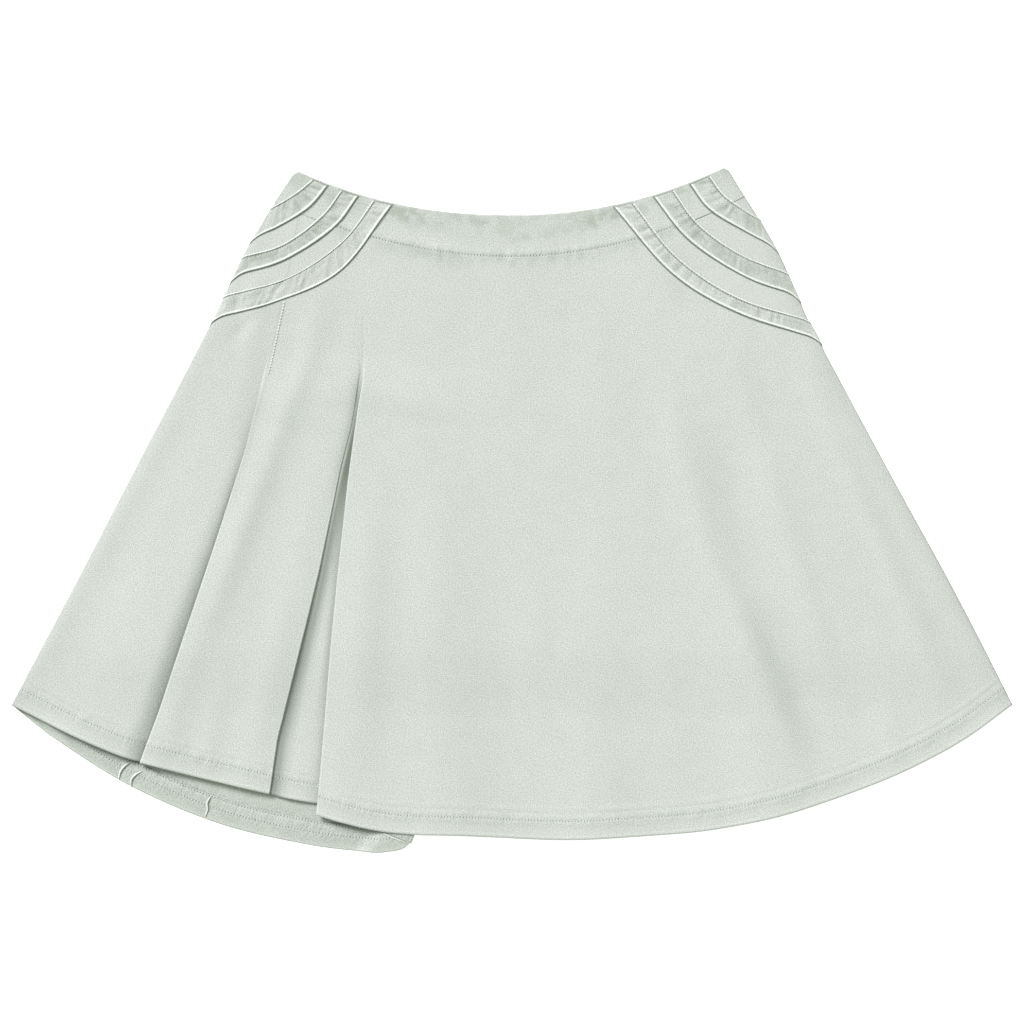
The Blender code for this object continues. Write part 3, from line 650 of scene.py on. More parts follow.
def front_surface(shares):
    """The middle of the front panel: four stretches joined through its three pleats."""
    grown = (FOLD_RADIUS - PRESSED_RADIUS) * smooth_step(shares, PLEAT_OPENS, PLEAT_OPENED)
    sections, ends, rise = {}, {}, {}
    for name, (edges, under, rises, starts, folds, opens) in PLEATS.items():
        radius = PRESSED_RADIUS + opens * grown
        x, z, straight = fold_sections(shares, starts, folds, under, radius)
        edge = np.interp(shares, EDGE_SHARES, edges)
        centre = edge + (1.0 if rises else -1.0) * (radius + straight / 2)
        x = x + centre[:, None]
        rise[name] = z[:, -1:]
        sections[name] = (x, z if rises else z[:, ::-1])
        ends[name] = (x[:, 0], x[:, -1])
    knife_top, inner_top, main_top = (PLEATS[name][0][0] for name in PLEATS)
    side_rows = panel_rows(-SEAM_HALF, knife_top, SIDE_HEM, shares)
    pleat_rows = panel_rows(knife_top, inner_top, PLEAT_HEM, shares)
    inner_rows = panel_rows(inner_top - UNDER_LAP, main_top + UNDER_LAP, INNER_HEM, shares)
    main_rows = panel_rows(main_top, SEAM_HALF, MAIN_HEM, shares)

    side_start = side_x(-1, side_rows[:, 0, 1])
    side = spaced(side_start, ends["knife"][0], SIDE_COLUMNS, BESIDE_SIDE, BESIDE_BEND)
    pleat = spaced(ends["knife"][1], ends["inverted_left"][0], PLEAT_COLUMNS, BESIDE_BEND, BESIDE_BEND)
    lean = np.linspace(0.0, 1.0, INNER_COLUMNS)
    inner_start, inner_end = ends["inverted_left"][1][:, None], ends["inverted_right"][0][:, None]
    inner = inner_start + (inner_end - inner_start) * lean
    main_end = side_x(1, main_rows[:, -1, 1])
    main = spaced(ends["inverted_right"][1], main_end, MAIN_COLUMNS, BESIDE_BEND, BESIDE_SIDE)

    open_share = smooth_step(shares, PLEAT_OPENS, PLEAT_OPENED)[:, None]
    near_hem = smooth_step(shares, 1.0 - HEM_OPENING / PANEL_LENGTH, 1.0)[:, None]
    widens = PLATEAU_END - MAIN_HEM[0][0] - PLATEAU_START
    plateau = ends["inverted_right"][1] + PLATEAU_START + widens * shares
    settle = fade(main, plateau[:, None], plateau[:, None] + PLATEAU_SLOPE)
    from_edge = ends["knife"][1][:, None] - radius[:, None] - side
    crest = KNIFE_SWELL[0] * (0.5 + 0.5 * open_share)
    climb = 1.0 - (1.0 - np.clip(from_edge / crest, 0.0, 1.0)) ** 1.8
    side_swell = KNIFE_SWELL[2] * open_share * climb * fade(from_edge, crest, KNIFE_SWELL[1])
    from_ends = (pleat - ends["knife"][1][:, None], ends["inverted_left"][0][:, None] - pleat)
    pleat_swell = sum(
        height * open_share * bell(away - crest_at, width)
        for away, (crest_at, width, height) in zip(from_ends, PLEAT_SWELLS)
    )
    rolled = smooth_step(shares, PLEAT_STARTS, 0.3) * fade(shares, 0.36, 0.62)
    roll = 1.0 - np.clip(from_ends[1] / ROLL_WIDTH, 0.0, 1.0)
    pleat_swell = pleat_swell - ROLL_DEPTH * rolled[:, None] * roll**2
    over = smooth_step(from_ends[0] / (from_ends[0] + from_ends[1]), 0.0, 1.0)
    pleat_rise = rise["knife"] * (1.0 - over) + rise["inverted_left"] * over
    crest_at, width, height = MAIN_SWELL
    main_swell = height * open_share * bell(main - ends["inverted_right"][1][:, None] - crest_at, width)

    def stretch(x, rows, lift):
        """The points of a stretch at its columns x, as high as the front plus its lift."""
        y = on_rows(rows, x)
        opened = near_hem * sum(height * bell(x - at, width) for at, width, height in HEM_LIFTS)
        return np.stack([x, y, front_height(x, y) + lift + opened], axis=-1)

    side = stretch(side, side_rows, side_swell)
    pleat = stretch(pleat, pleat_rows, np.maximum(pleat_rise + pleat_swell, 0.0))
    inner = stretch(inner, inner_rows, 0.0)
    main = stretch(main, main_rows, rise["inverted_right"] * settle + main_swell)
    knife = joined(side, *sections["knife"], pleat)
    left = joined(pleat, *sections["inverted_left"], inner)
    right = joined(inner, *sections["inverted_right"], main)
    return np.concatenate([side, knife, pleat, left, inner, right, main], axis=1)


def painted_pleat_shade(x, shares):
    """Painted shade beside the pleats, in their recesses and beside their edges: smooth steps of the distance
    from their edges.
    """
    shares, column = shares[:, None], np.arange(x.shape[1])
    first_edge = x[:, SIDE_END:KNIFE_COLUMN].min(axis=1, keepdims=True)
    second_edge = x[:, PLEAT_END : PLEAT_END + BEND_COLUMNS].max(axis=1, keepdims=True)
    third_edge = x[:, INNER_END : INNER_END + BEND_COLUMNS].min(axis=1, keepdims=True)
    reach = 6.0 + 9.0 * smooth_step(shares, 0.5, 0.9)
    before = 0.3 * smooth_step(shares, 0.3, 0.5) * fade(first_edge - x, 0.0, reach)
    before = before + 0.4 * smooth_step(shares, 0.4, 0.55) * fade(first_edge - x, 0.0, 2.4)
    beside_top = smooth_step(shares, 0.2, 0.28) * fade(shares, 0.38, 0.46)
    before = before + 0.12 * beside_top * fade(first_edge - x, 6.0, 22.0)
    deep = 0.14 + 0.7 * smooth_step(shares, 0.31, 0.42) - 0.12 * smooth_step(shares, 0.7, 0.95)
    between = deep * fade(x - second_edge, 1.0 + 2.0 * smooth_step(shares, 0.8, 1.0), 12.5)
    between = between * (0.25 + 0.75 * smooth_step(x - second_edge, 0.0, 2.4))
    core = 0.65 - 0.25 * smooth_step(shares, 0.36, 0.43)
    between = between + core * fade(third_edge - x, 0.0, 6.0)
    between = between * smooth_step(shares, 0.22, 0.31)
    falls = smooth_step(shares, 0.23, 0.3) * fade(shares, 0.38, 0.52)
    on_edge = (0.25 * falls + 0.03) * fade(second_edge - x, -0.5, 5.5)
    left_rim = 0.16 - 0.16 * smooth_step(shares, 0.35, 0.6)
    on_edge = on_edge + left_rim * fade(x - first_edge, 0.5, 5.0)
    total = before * (column < SIDE_END + ARC_POINTS // 2)
    middle = (column >= KNIFE_COLUMN - ARC_POINTS) & (column < PLEAT_END + ARC_POINTS)
    inner = (column >= PLEAT_END + BEND_COLUMNS - 2) & (column < INNER_END + ARC_POINTS)
    return total + on_edge * middle + between * inner


def painted_bend_light(x, shares):
    """Painted light on the second fold of the front, round the half of its bend that shows, which lies in
    shade.
    """
    column = np.arange(x.shape[1])
    on_bend = (column >= PLEAT_END - 1) & (column < PLEAT_END + ARC_POINTS)
    return 0.9 * smooth_step(shares, 0.36, 0.5)[:, None] * on_bend


def seam_shows(x):
    """1 where the waist seam shows and 0 beside the outer hip bands, with smooth steps between."""
    return smooth_step(x, -139.0, -131.0) * fade(x, 118.0, 126.0)


def painted_edge_shade(x, y):
    """Painted shade: a thin darker line where the cloth rounds down at its side edges, and a faint wider one
    inside it.
    """
    inside = side_distance(x, y)
    return 0.1 * fade(inside, 0.0, 16.0) + 0.24 * fade(inside, 0.0, 1.8)


def back_surface(shares):
    """The middle of the back panel: flat on the surface but for the fold that makes its tail."""
    x, z, straight = fold_sections(shares, TAIL_STARTS, TAIL_FOLDS, TAIL_UNDER, TAIL_RADIUS)
    rise = z[:, -1]
    edge = np.interp(shares, TAIL_SHARES, TAIL_EDGE)
    x, z = x + (edge - TAIL_RADIUS - straight / 2)[:, None], z[:, ::-1]
    half_wall = np.where(shares > TURNING_SHARE, HEM_WALL, WALL)[:, None] / 2 + FLOOR_CLEAR
    left_rows = panel_rows(-SEAM_HALF, TAIL_EDGE[0], BACK_HEM, shares)
    right_rows = panel_rows(TAIL_EDGE[0] - UNDER_LAP, SEAM_HALF, BACK_RIGHT_HEM, shares)
    left_end = side_x(-1, left_rows[:, 0, 1]) + BACK_INSET
    right_end = side_x(1, right_rows[:, -1, 1]) - BACK_INSET
    ramp_end = (edge - straight - TAIL_CLEAR)[:, None]
    ramp = ramp_end - TAIL_RAMP * (1 - np.linspace(0.0, 1.0, RAMP_COLUMNS))
    even = np.linspace(0.0, 1.0, BACK_COLUMNS[0])[:-1]
    flat = left_end[:, None] + (ramp[:, :1] - left_end[:, None]) * even
    last = ramp_end + (x[:, :1] - ramp_end) * np.linspace(0.0, 1.0, RAMP_COLUMNS - 1)[1:]
    left_x = np.concatenate([flat, ramp, last], axis=1)
    right_x = spaced(x[:, -1], right_end, BACK_COLUMNS[1], BESIDE_BEND, np.zeros(1))
    climb = smooth_step(left_x, ramp[:, :1], ramp[:, -1:])
    left_y, right_y = on_rows(left_rows, left_x), on_rows(right_rows, right_x)
    left = np.stack([left_x, left_y, half_wall + rise[:, None] * climb], axis=-1)
    right = np.stack([right_x, right_y, np.broadcast_to(half_wall, right_x.shape)], axis=-1)
    return np.concatenate([left, joined(left, x, z, right), right], axis=1)


def turned(middle, under, outward, offset, radius):
    """A sheet turned under at its last row: its face, half a circle round the edge, and the turning.

    middle and under are grids of the middle surface down to the edge and back up from it. The face
    lies offset along the outward normal, and the turning lies the radius against it.
    """
    normal = normals_of(middle, outward)
    face = middle + normal * offset
    edge, edge_normal = middle[-1], normal[-1]
    forward = middle[-1] - middle[-2]
    forward = forward - (forward * edge_normal).sum(-1, keepdims=True) * edge_normal
    forward = unit(forward)
    turn = np.linspace(0.0, math.pi, TURN_POINTS + 2)[1:-1, None, None]
    around = edge + radius * (edge_normal * np.cos(turn) + forward * np.sin(turn))
    inner = under + normals_of(under[::-1], outward)[::-1] * -radius
    return np.concatenate([face, around, inner], axis=0)


# ---------------------------------------------------------------- meshes


def new_mesh(name, points, faces):
    """A mesh of quads from arrays of points in millimetres and of corner numbers."""
    mesh = bpy.data.meshes.new(name)
    mesh.vertices.add(len(points))
    mesh.vertices.foreach_set("co", (points * MM).astype(np.float32).ravel())
    mesh.loops.add(faces.size)
    mesh.loops.foreach_set("vertex_index", faces.astype(np.int32).ravel())
    mesh.polygons.add(len(faces))
    mesh.polygons.foreach_set("loop_start", np.arange(0, faces.size, 4, dtype=np.int32))
    mesh.update(calc_edges=True)
    mesh.validate()
    mesh.shade_smooth()
    return mesh


def piece_of(name, mesh, material, slot, *nodes):
    """Links a finished mesh as a piece of the garment that stands for the named nodes."""
    piece = bpy.data.objects.new(name, mesh)
    bpy.context.scene.collection.objects.link(piece)
    mesh.materials.append(material)
    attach(piece, BODY)
    if nodes:
        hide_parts(*nodes)
    return piece


def sheet_mesh(name, grid, outward, marks):
    """A sheet on a grid of points.

    marks are named values at its points, for its material: how far along and from a row of stitches
    they lie, how worn the cloth is and how much painted light it gets, how mottled it is, and how much painted
    shade darkens it.
    """
    rows, columns = grid.shape[:2]
    index = np.arange(rows * columns).reshape(rows, columns)
    corners = (index[:-1, :-1], index[1:, :-1], index[1:, 1:], index[:-1, 1:])
    faces = np.stack([corner.ravel() for corner in corners], axis=1)
    if outward < 0:
        faces = faces[:, ::-1]
    mesh = new_mesh(name, grid.reshape(-1, 3), faces)
    for mark, values in marks.items():
        spread = np.broadcast_to(values, (rows, columns)).astype(np.float32)
        mesh.attributes.new(mark, "FLOAT", "POINT").data.foreach_set("value", spread.ravel())
    return mesh


def plain_marks(shade):
    """The marks of a sheet that is evenly mottled and has no stitches."""
    return {"sewn_gap": FAR, "sewn_run": 0.0, "worn": 0.0, "shade": shade, "dark": 0.0}


def cloth_piece(name, sheet, material, slot, node, thickness):
    """The cloth that stands for a solid, with half its wall to each side of it.

    sheet holds its grid of points, the side that faces out and its marks.
    """
    piece = piece_of(name, sheet_mesh(name, *sheet), material, slot, node)
    wall = piece.modifiers.new("wall", "SOLIDIFY")
    wall.thickness = thickness
    wall.offset = 0.0
    return piece


def seam_path(grid, gaps, target):
    """The line on a grid where a value that falls from row to row passes the target."""
    below = np.argmax(gaps <= target, axis=0)[None, :]
    above = np.maximum(below - 1, 0)
    high, low = np.take_along_axis(gaps, above, 0), np.take_along_axis(gaps, below, 0)
    part = ((high - target) / np.maximum(high - low, 1e-9))[..., None]
    upper = np.take_along_axis(grid, above[..., None], 0)
    lower = np.take_along_axis(grid, below[..., None], 0)
    return (upper * (1 - part) + lower * part)[0]


def tube_faces(rings, sides, cap):
    """Quads of a closed tube: its walls, the cap as given, and the cap reversed at its other end."""
    corner = np.arange(rings * sides).reshape(rings, sides)
    step = np.roll(corner, -1, axis=1)
    walls = np.stack([corner[:-1], step[:-1], step[1:], corner[1:]], axis=-1).reshape(-1, 4)
    return np.concatenate([walls, cap, np.array(cap)[:, ::-1] + (rings - 1) * sides])


def stitches(path, normal, run, pitch, thread):
    """Stitches along a path: on each pitch of its run, a tube of four rings that dips at both ends.

    Returns the points and the faces of all of them, as quads.
    """
    at = (np.arange(math.ceil(run[0] / pitch), math.floor(run[-1] / pitch)) + 0.5) * pitch

    def read(values):
        """Values of the path's points, read at the middle of each stitch."""
        return np.stack([np.interp(at, run, values[:, k]) for k in range(3)], axis=-1)

    centre, up, along = read(path), unit(read(normal)), unit(read(np.gradient(path, axis=0)))
    side = np.cross(up, along)
    wander = 0.12 * soft_noise(at, 0.0, 1.7 * pitch, 11)
    reach = pitch * np.array([-0.4, -0.25, 0.25, 0.4])
    dip = thread * np.array([-0.6, 0.1, 0.1, -0.6])
    radius = thread / 2 * np.array([0.7, 1.0, 1.0, 0.7])
    turn = np.arange(STITCH_SIDES) * 2 * math.pi / STITCH_SIDES
    rings = (
        centre[:, None, None]
        + along[:, None, None] * reach[:, None, None]
        + up[:, None, None] * (dip[:, None] + radius[:, None] * np.sin(turn))[..., None]
        + side[:, None, None] * (radius[:, None] * np.cos(turn))[..., None]
        + side[:, None, None] * wander[:, None, None, None]
    )
    one = tube_faces(len(reach), STITCH_SIDES, [[3, 2, 1, 0], [5, 4, 3, 0]])
    faces = one + len(reach) * STITCH_SIDES * np.arange(len(at))[:, None, None]
    return rings.reshape(-1, 3), faces.reshape(-1, 4)


def stitch_piece(name, rows, thick=1.0):
    """One piece from several rows of stitches, each a path, its normals and its run."""
    cloth = bpy.context.scene.skort_cloth
    points, faces, count = [], [], 0
    for path, normal, run in rows:
        made, corners = stitches(path, normal, run, cloth.pitch / MM, thick * cloth.thread / MM)
        points.append(made)
        faces.append(corners + count)
        count += len(made)
    mesh = new_mesh(name, np.concatenate(points), np.concatenate(faces))
    return piece_of(name, mesh, thread_material(), "face_twill")


def upward_parts(path, normal, run, least=0.8):
    """The stretches of a path where the cloth faces up, each as its points, normals and run."""
    up = normal[:, 2] > least
    edges = np.flatnonzero(np.diff(np.concatenate([[False], up, [False]]).astype(int)))
    pairs = zip(edges[::2], edges[1::2])
    return [(path[a:b], normal[a:b], run[a:b]) for a, b in pairs if run[b - 1] - run[a] > 5.0]


def pinches(paths):
    """Pinches of cloth: along each path a tube whose width is a power of a sine, narrow at both ends."""
    turn = (np.arange(PINCH_SIDES) * 2 * math.pi / PINCH_SIDES)[None, :, None]
    narrow = np.sin(np.linspace(0.04, 0.96, PINCH_RINGS) * math.pi)[:, None, None] ** 0.7
    points = []
    for path in paths:
        centre = curve_through(path, PINCH_RINGS)
        side = np.cross(PINCH_UP, unit(np.gradient(centre, axis=0)))
        ring = PINCH_RADIUS * narrow * (np.sin(turn) * np.array(PINCH_UP) + np.cos(turn) * side[:, None])
        points.append((centre[:, None] + ring).reshape(-1, 3))
    one = tube_faces(PINCH_RINGS, PINCH_SIDES, [[3, 2, 1, 0], [7, 4, 3, 0], [7, 6, 5, 4]])
    faces = one + PINCH_RINGS * PINCH_SIDES * np.arange(len(paths))[:, None, None]
    return np.concatenate(points), faces.reshape(-1, 4)


def pucker(run, gap, line, reach, length, seed):
    """Puckers beside a row of stitches: random waves along it, fading to both sides of it."""
    waves = soft_noise(run, gap * 0.25, length, seed)
    waves = waves + 0.5 * soft_noise(run, gap * 0.4, length / 2, seed + 1)
    return waves * bell(gap - line, reach)


# ---------------------------------------------------------------- materials


class Wire:
    """An output of a shader node. Python sums on it add Math nodes."""

    def __init__(self, shader, socket):
        self.shader, self.socket = shader, socket

    def math(self, operation, *others):
        """A Math node on this value and then the others."""
        values = dict(enumerate((self, *others)))
        return self.shader.node("ShaderNodeMath", {"operation": operation}, values)

    def __add__(self, other):
        return self.math("ADD", other)

    def __sub__(self, other):
        return self.math("SUBTRACT", other)

    def __rsub__(self, other):
        return self.math("MULTIPLY", -1.0) + other

    def __mul__(self, other):
        return self.math("MULTIPLY", other)

    def __truediv__(self, other):
        return self.math("DIVIDE", other)

    __radd__ = __add__
    __rmul__ = __mul__

    def ramp(self, start, end, low=0.0, high=1.0):
        """A smooth climb from low to high as the value goes from start to end."""
        values = {0: self, 1: start, 2: end, 3: low, 4: high}
        return self.shader.node("ShaderNodeMapRange", {"interpolation_type": "SMOOTHSTEP"}, values)


class Shader:
    """A material under construction."""

    def __init__(self, name):
        self.material = bpy.data.materials.new(name)
        self.material.use_nodes = True
        self.tree = self.material.node_tree
        self.surface = self.tree.nodes["Principled BSDF"]
        self.place = self.node("ShaderNodeTexCoord", {}, {}, "Object")

    def node(self, kind, settings, sockets, output=0):
        """Adds a node: its settings first, then its inputs, each a value or a wire."""
        made = self.tree.nodes.new(kind)
        for name, value in settings.items():
            setattr(made, name, value)
        for name, value in sockets.items():
            self.feed(made.inputs[name], value)
        return Wire(self, made.outputs[output])

    def feed(self, socket, value):
        """Links a wire to a socket, or sets the socket to a plain value."""
        if isinstance(value, Wire):
            self.tree.links.new(value.socket, socket)
        else:
            socket.default_value = value

    def mark(self, name):
        """A value stored at the piece's points."""
        return self.node("ShaderNodeAttribute", {"attribute_name": name}, {}, "Fac")

    def noise(self, size, detail=2.0, where=None, roughness=0.5):
        """Noise about size metres wide, between 0 and 1."""
        sockets = {"Vector": where or self.place, "Scale": 1.0 / size}
        sockets |= {"Detail": detail, "Roughness": roughness}
        return self.node("ShaderNodeTexNoise", {"noise_dimensions": "2D"}, sockets, "Fac")

    def turned(self, angle, stretch):
        """The place turned about Z and stretched, for a pattern with a direction."""
        sockets = {"Vector": self.place, "Rotation": (0.0, 0.0, angle), "Scale": stretch}
        return self.node("ShaderNodeMapping", {"vector_type": "TEXTURE"}, sockets)

    def point(self, x, y, z=0.0):
        """Three values joined into one vector."""
        return self.node("ShaderNodeCombineXYZ", {}, {0: x, 1: y, 2: z})

    def blend(self, factor, low, high, how="MIX"):
        """Mixes two colours."""
        settings = {"data_type": "RGBA", "blend_type": how, "clamp_factor": True}
        return self.node("ShaderNodeMix", settings, {0: factor, 6: low, 7: high}, 2)

    def brighten(self, colour, value):
        """Multiplies a colour by a value."""
        plain = colour if isinstance(colour, Wire) else colour[:3]
        grey = self.point(value, value, value)
        return self.node("ShaderNodeVectorMath", {"operation": "MULTIPLY"}, {0: plain, 1: grey})

    def bump(self, height, distance, under=None):
        """Relief of the surface, on top of another relief where one is given."""
        sockets = {"Height": height, "Distance": distance}
        if under is not None:
            sockets["Normal"] = under
        return self.node("ShaderNodeBump", {}, sockets)

    def finish(self, sockets):
        """Feeds the surface's own sockets, and gives the finished material."""
        for name, value in sockets.items():
            self.feed(self.surface.inputs[name], value)
        return self.material


def opaque(colour):
    """A colour with its alpha of 1."""
    return (*colour, 1.0)


def washed_twill(name, base, streak, holes=(), hole_shade=0.42):
    """Washed twill: diagonal grain, mottle and wash patches over a base, darker and paler by the marks, which
    carry mottle and wear as well as painted shade and painted light.

    holes are the distances at which its rows of stitches lie by the mark sewn_gap, in millimetres, and
    the last argument is how much painted shade darkens the needle holes.
    """
    cloth, colours = bpy.context.scene.skort_cloth, bpy.context.scene.skort_colours
    shader = Shader(name)
    grain = shader.noise(GRAIN_SIZE, 0.0, shader.turned(math.radians(TWILL_SLANT), (1.5, 0.85, 1.0)))
    speck = shader.noise(SPECK_SIZE, 0.0)
    mottle = shader.noise(MOTTLE_SIZE, 2.0, None, 0.6)
    patch = shader.noise(PATCH_SIZE, 3.0, None, 0.55)
    wash = shader.noise(WASH_SIZE, 3.0, shader.turned(0.0, (0.7, 1.5, 1.0)), 0.5)
    worn, shade, dark = shader.mark("worn"), shader.mark("shade"), shader.mark("dark")

    run, gap = shader.mark("sewn_run"), shader.mark("sewn_gap")
    hole, ripple = 0.0, 0.0
    for line in holes:
        beside = (gap - line).math("ABSOLUTE")
        phase = (run / (cloth.pitch / MM)).math("FRACT")
        spot = (phase - 0.5).math("ABSOLUTE").ramp(0.30, 0.46)
        hole = spot * beside.ramp(0.30, 0.62, 1.0, 0.0) + hole
        waves = shader.noise(1.0, 2.0, shader.point(run / 2.6, gap / 11.0))
        ripple = waves * beside.ramp(0.4, 7.0, 1.0, 0.0) + ripple

    light = (grain - 0.5) * (0.22 * streak) + (speck - 0.5) * (0.58 * streak)
    light = light + (mottle - 0.5) * (0.03 * streak)
    light = light + (patch - 0.5) * (shade * 0.22 + 0.07) + (wash - 0.5) * 0.05 + 1.0
    clouds = patch.ramp(0.36, 0.66)
    cover = (shade * (clouds * 0.8 + 0.2)).math("MINIMUM", 1.0)
    colour = shader.blend(cover, opaque(base), opaque(colours.deep))
    # The pale colour mixed in for wear, and as painted light where the mark also carries it
    colour = shader.blend(worn * (mottle * 0.5 + 0.6), colour, opaque(colours.worn))
    sewn = None
    if holes:
        # Painted shade in the needle holes
        light = light - hole * hole_shade
        sewn = shader.bump(ripple - hole * 0.4, SEWN_RELIEF)
    sockets = {
        # Painted shade: the cloth is mixed towards the near-black green where its mark says
        "Base Color": shader.blend(dark * 0.9, shader.brighten(colour, light), opaque(colours.dark)),
        "Roughness": patch * 0.06 + 0.88,
        "Normal": shader.bump(grain * 0.5 + speck * 0.5, GRAIN_RELIEF, sewn),
        "Specular IOR Level": 0.2,
        "Sheen Weight": 0.05,
        "Sheen Roughness": 0.5,
    }
    return shader.finish(sockets)


def thread_material():
    """Spun thread: a slight change of shade along it and fine fibres."""
    found = bpy.data.materials.get("sewing_thread")
    if found:
        return found
    colours = bpy.context.scene.skort_colours
    shader = Shader("sewing_thread")
    fibre = shader.noise(0.0003, 2.0)
    worn = shader.noise(0.012, 2.0)
    colour = shader.brighten(opaque(colours.thread), fibre * 0.16 + worn * 0.14 + 0.85)
    normal = shader.bump(fibre, 0.0001)
    return shader.finish({"Base Color": colour, "Roughness": fibre * 0.1 + 0.75, "Normal": normal})


def floor_material():
    """A pale matt surface, lit from inside like a light table, with the faintest unevenness."""
    colours = bpy.context.scene.skort_colours
    shader = Shader("pale_floor")
    grain = shader.noise(0.4, 2.0)
    sockets = {
        "Base Color": shader.brighten(opaque(colours.floor), grain * 0.01 + 0.995),
        "Roughness": grain * 0.05 + 0.9,
        "Specular IOR Level": 0.1,
        "Emission Color": (1.0, 1.0, 1.0, 1.0),
        "Emission Strength": 0.55,
    }
    return shader.finish(sockets)


# ---------------------------------------------------------------- pieces


def front_shares():
    """Rows of the front: close beside the seam and the hem stitching, even between."""
    seam = np.array([-1.0, -0.35, 0.2, 0.6, 1.1, 1.8, 2.8, 4.2, 6.0, 8.2, 10.6, 13.4]) / PANEL_LENGTH
    even = np.linspace(seam[-1], 1 - 30.0 / PANEL_LENGTH, 118)[1:]
    hem_up = [27.5, 25.0, 23.0, 21.4, 20.4, 19.6, 18.6, 17.2, 15.8, 14.8, 14.1, 13.6, 13.1, 12.4, 11.2]
    hem_up += [9.6, 7.8, 6.0, 4.2, 2.8, 1.7, 0.9]
    hem = 1 - np.array(hem_up) / PANEL_LENGTH
    return np.concatenate([seam, even, hem])


def turning_shares():
    """Rows of a turning, from the edge back up to its raw edge."""
    return 1 - np.array([1.2, 4.0, 9.0, 14.0, HEM_TURNING - 1.0]) / PANEL_LENGTH


def panel_layers(surface, shares, outward, layer):
    """The face and the turning of a panel, how far each point lies from the edge, and the face's rows."""
    middle = surface(shares)
    back_up = turning_shares()
    single = WALL / 2 - layer / 2
    radius = (HEM_WALL - layer) / 2
    doubled = smooth_step(shares, TURNING_SHARE - 0.001, TURNING_SHARE + 0.002)[:, None, None]
    offset = single + (radius - single) * doubled
    grid = turned(middle, surface(back_up), outward, offset, radius)
    length = run_along(middle, 0)
    across = np.ones((1, length.shape[1]))
    inner = PANEL_LENGTH * (1 - back_up)[:, None] * across
    gap = np.concatenate([length[-1:] - length, 0.0 * across.repeat(TURN_POINTS, axis=0), inner])
    return grid, gap, len(shares)


def rows_of(values, rows):
    """Values of the columns, repeated down the rows."""
    return np.broadcast_to(values, (rows, len(values)))


class SKORT_OT_front_panel(bpy.types.Operator):
    """Make the front panel with its pleats, its creases and its turned hem"""

    bl_idname = "skort.front_panel"
    bl_label = "Front panel"

    def execute(self, context):
        cloth, colours = context.scene.skort_cloth, context.scene.skort_colours
        layer = cloth.layer / MM
        shares = front_shares()
        grid, gap, count = panel_layers(front_surface, shares, 1.0, layer)
        face, face_gap = grid[:count], gap[:count]
        normal = normals_of(face)
        flat = np.clip(normal[..., 2], 0.0, 1.0) ** 4
        run = rows_of(run_along(seam_path(face, face_gap, HEM_STITCH)[None], 1)[0], count)
        from_seam = (shares * PANEL_LENGTH)[:, None]
        lift = 1.4 * pucker(run, face_gap, HEM_STITCH, 5.0, 4.6, 21) - 0.7 * bell(face_gap - HEM_STITCH, 0.9)
        lift = lift + 0.7 * pucker(run, face_gap, HEM_TURNING + 1.0, 3.0, 7.0, 31)
        lift = lift + 0.9 * bell(face_gap - HEM_TURNING - 1.5, 1.2) * (0.6 + soft_noise(run, 0.0, 40.0, 33))
        shows = seam_shows(face[..., 0])
        lift = lift + 1.5 * shows * pucker(face[..., 0], from_seam, 0.0, 8.0, 4.6, 41)
        lift = lift * cloth.pucker / MM * flat - 0.06 * fade(from_seam, -0.4, 0.8)
        face = face + normal * lift[..., None]
        grid = np.concatenate([face, grid[count:]])
        from_seam = np.broadcast_to(from_seam, face_gap.shape)
        from_seam = np.concatenate([from_seam, np.full_like(gap[count:], FAR)])
        x, y = grid[..., 0], grid[..., 1]
        row_shares = np.concatenate([shares, np.ones(TURN_POINTS), turning_shares()])
        # Wear along the hem's fold and painted light on the second pleat's bend; then painted shade beside the
        # pleats, along the side edges and the hem's fold, in streaks along the creases and along the waist seam
        worn = 0.3 * bell(gap - 1.6, 1.0) + painted_bend_light(x, row_shares)
        dark = painted_pleat_shade(x, row_shares) + painted_edge_shade(x, y) + 0.32 * bell(gap, 0.7)
        dark = dark + crease_height(x, y, PAINTED_CREASE_SHADE) + 0.06 * seam_shows(x) * bell(from_seam, 0.8)
        marks = {
            "sewn_gap": gap,
            "sewn_run": rows_of(run[0], len(grid)),
            "worn": worn,
            "shade": 0.5 * seam_shows(x) * bell(from_seam, 6.0) + 0.25 * bell(gap - HEM_STITCH, 5.0),
            "dark": np.clip(dark, 0.0, 1.0),
        }
        material = washed_twill("face_twill", colours.face, 1.0, (HEM_STITCH,))
        sheet = (grid, 1.0, marks)
        piece = cloth_piece("front_cloth", sheet, material, "face_twill", "front_panel", cloth.layer)

        hem = seam_path(face, face_gap, HEM_STITCH)
        up = seam_path(normals_of(face), face_gap, HEM_STITCH)
        rows = upward_parts(hem + up * layer / 2, up, run[0])
        stitch_piece("front_hem_stitches", rows)
        down = (shares > PLEAT_STITCH[0]) & (shares < PLEAT_STITCH[1])
        up = normal[down, KNIFE_COLUMN + 2]
        path = face[down, KNIFE_COLUMN + 2] + up * layer / 2
        stitch_piece("pleat_stitches", [(path, up, run_along(path[None], 1)[0])], PLEAT_THREAD)
        return {"FINISHED"}


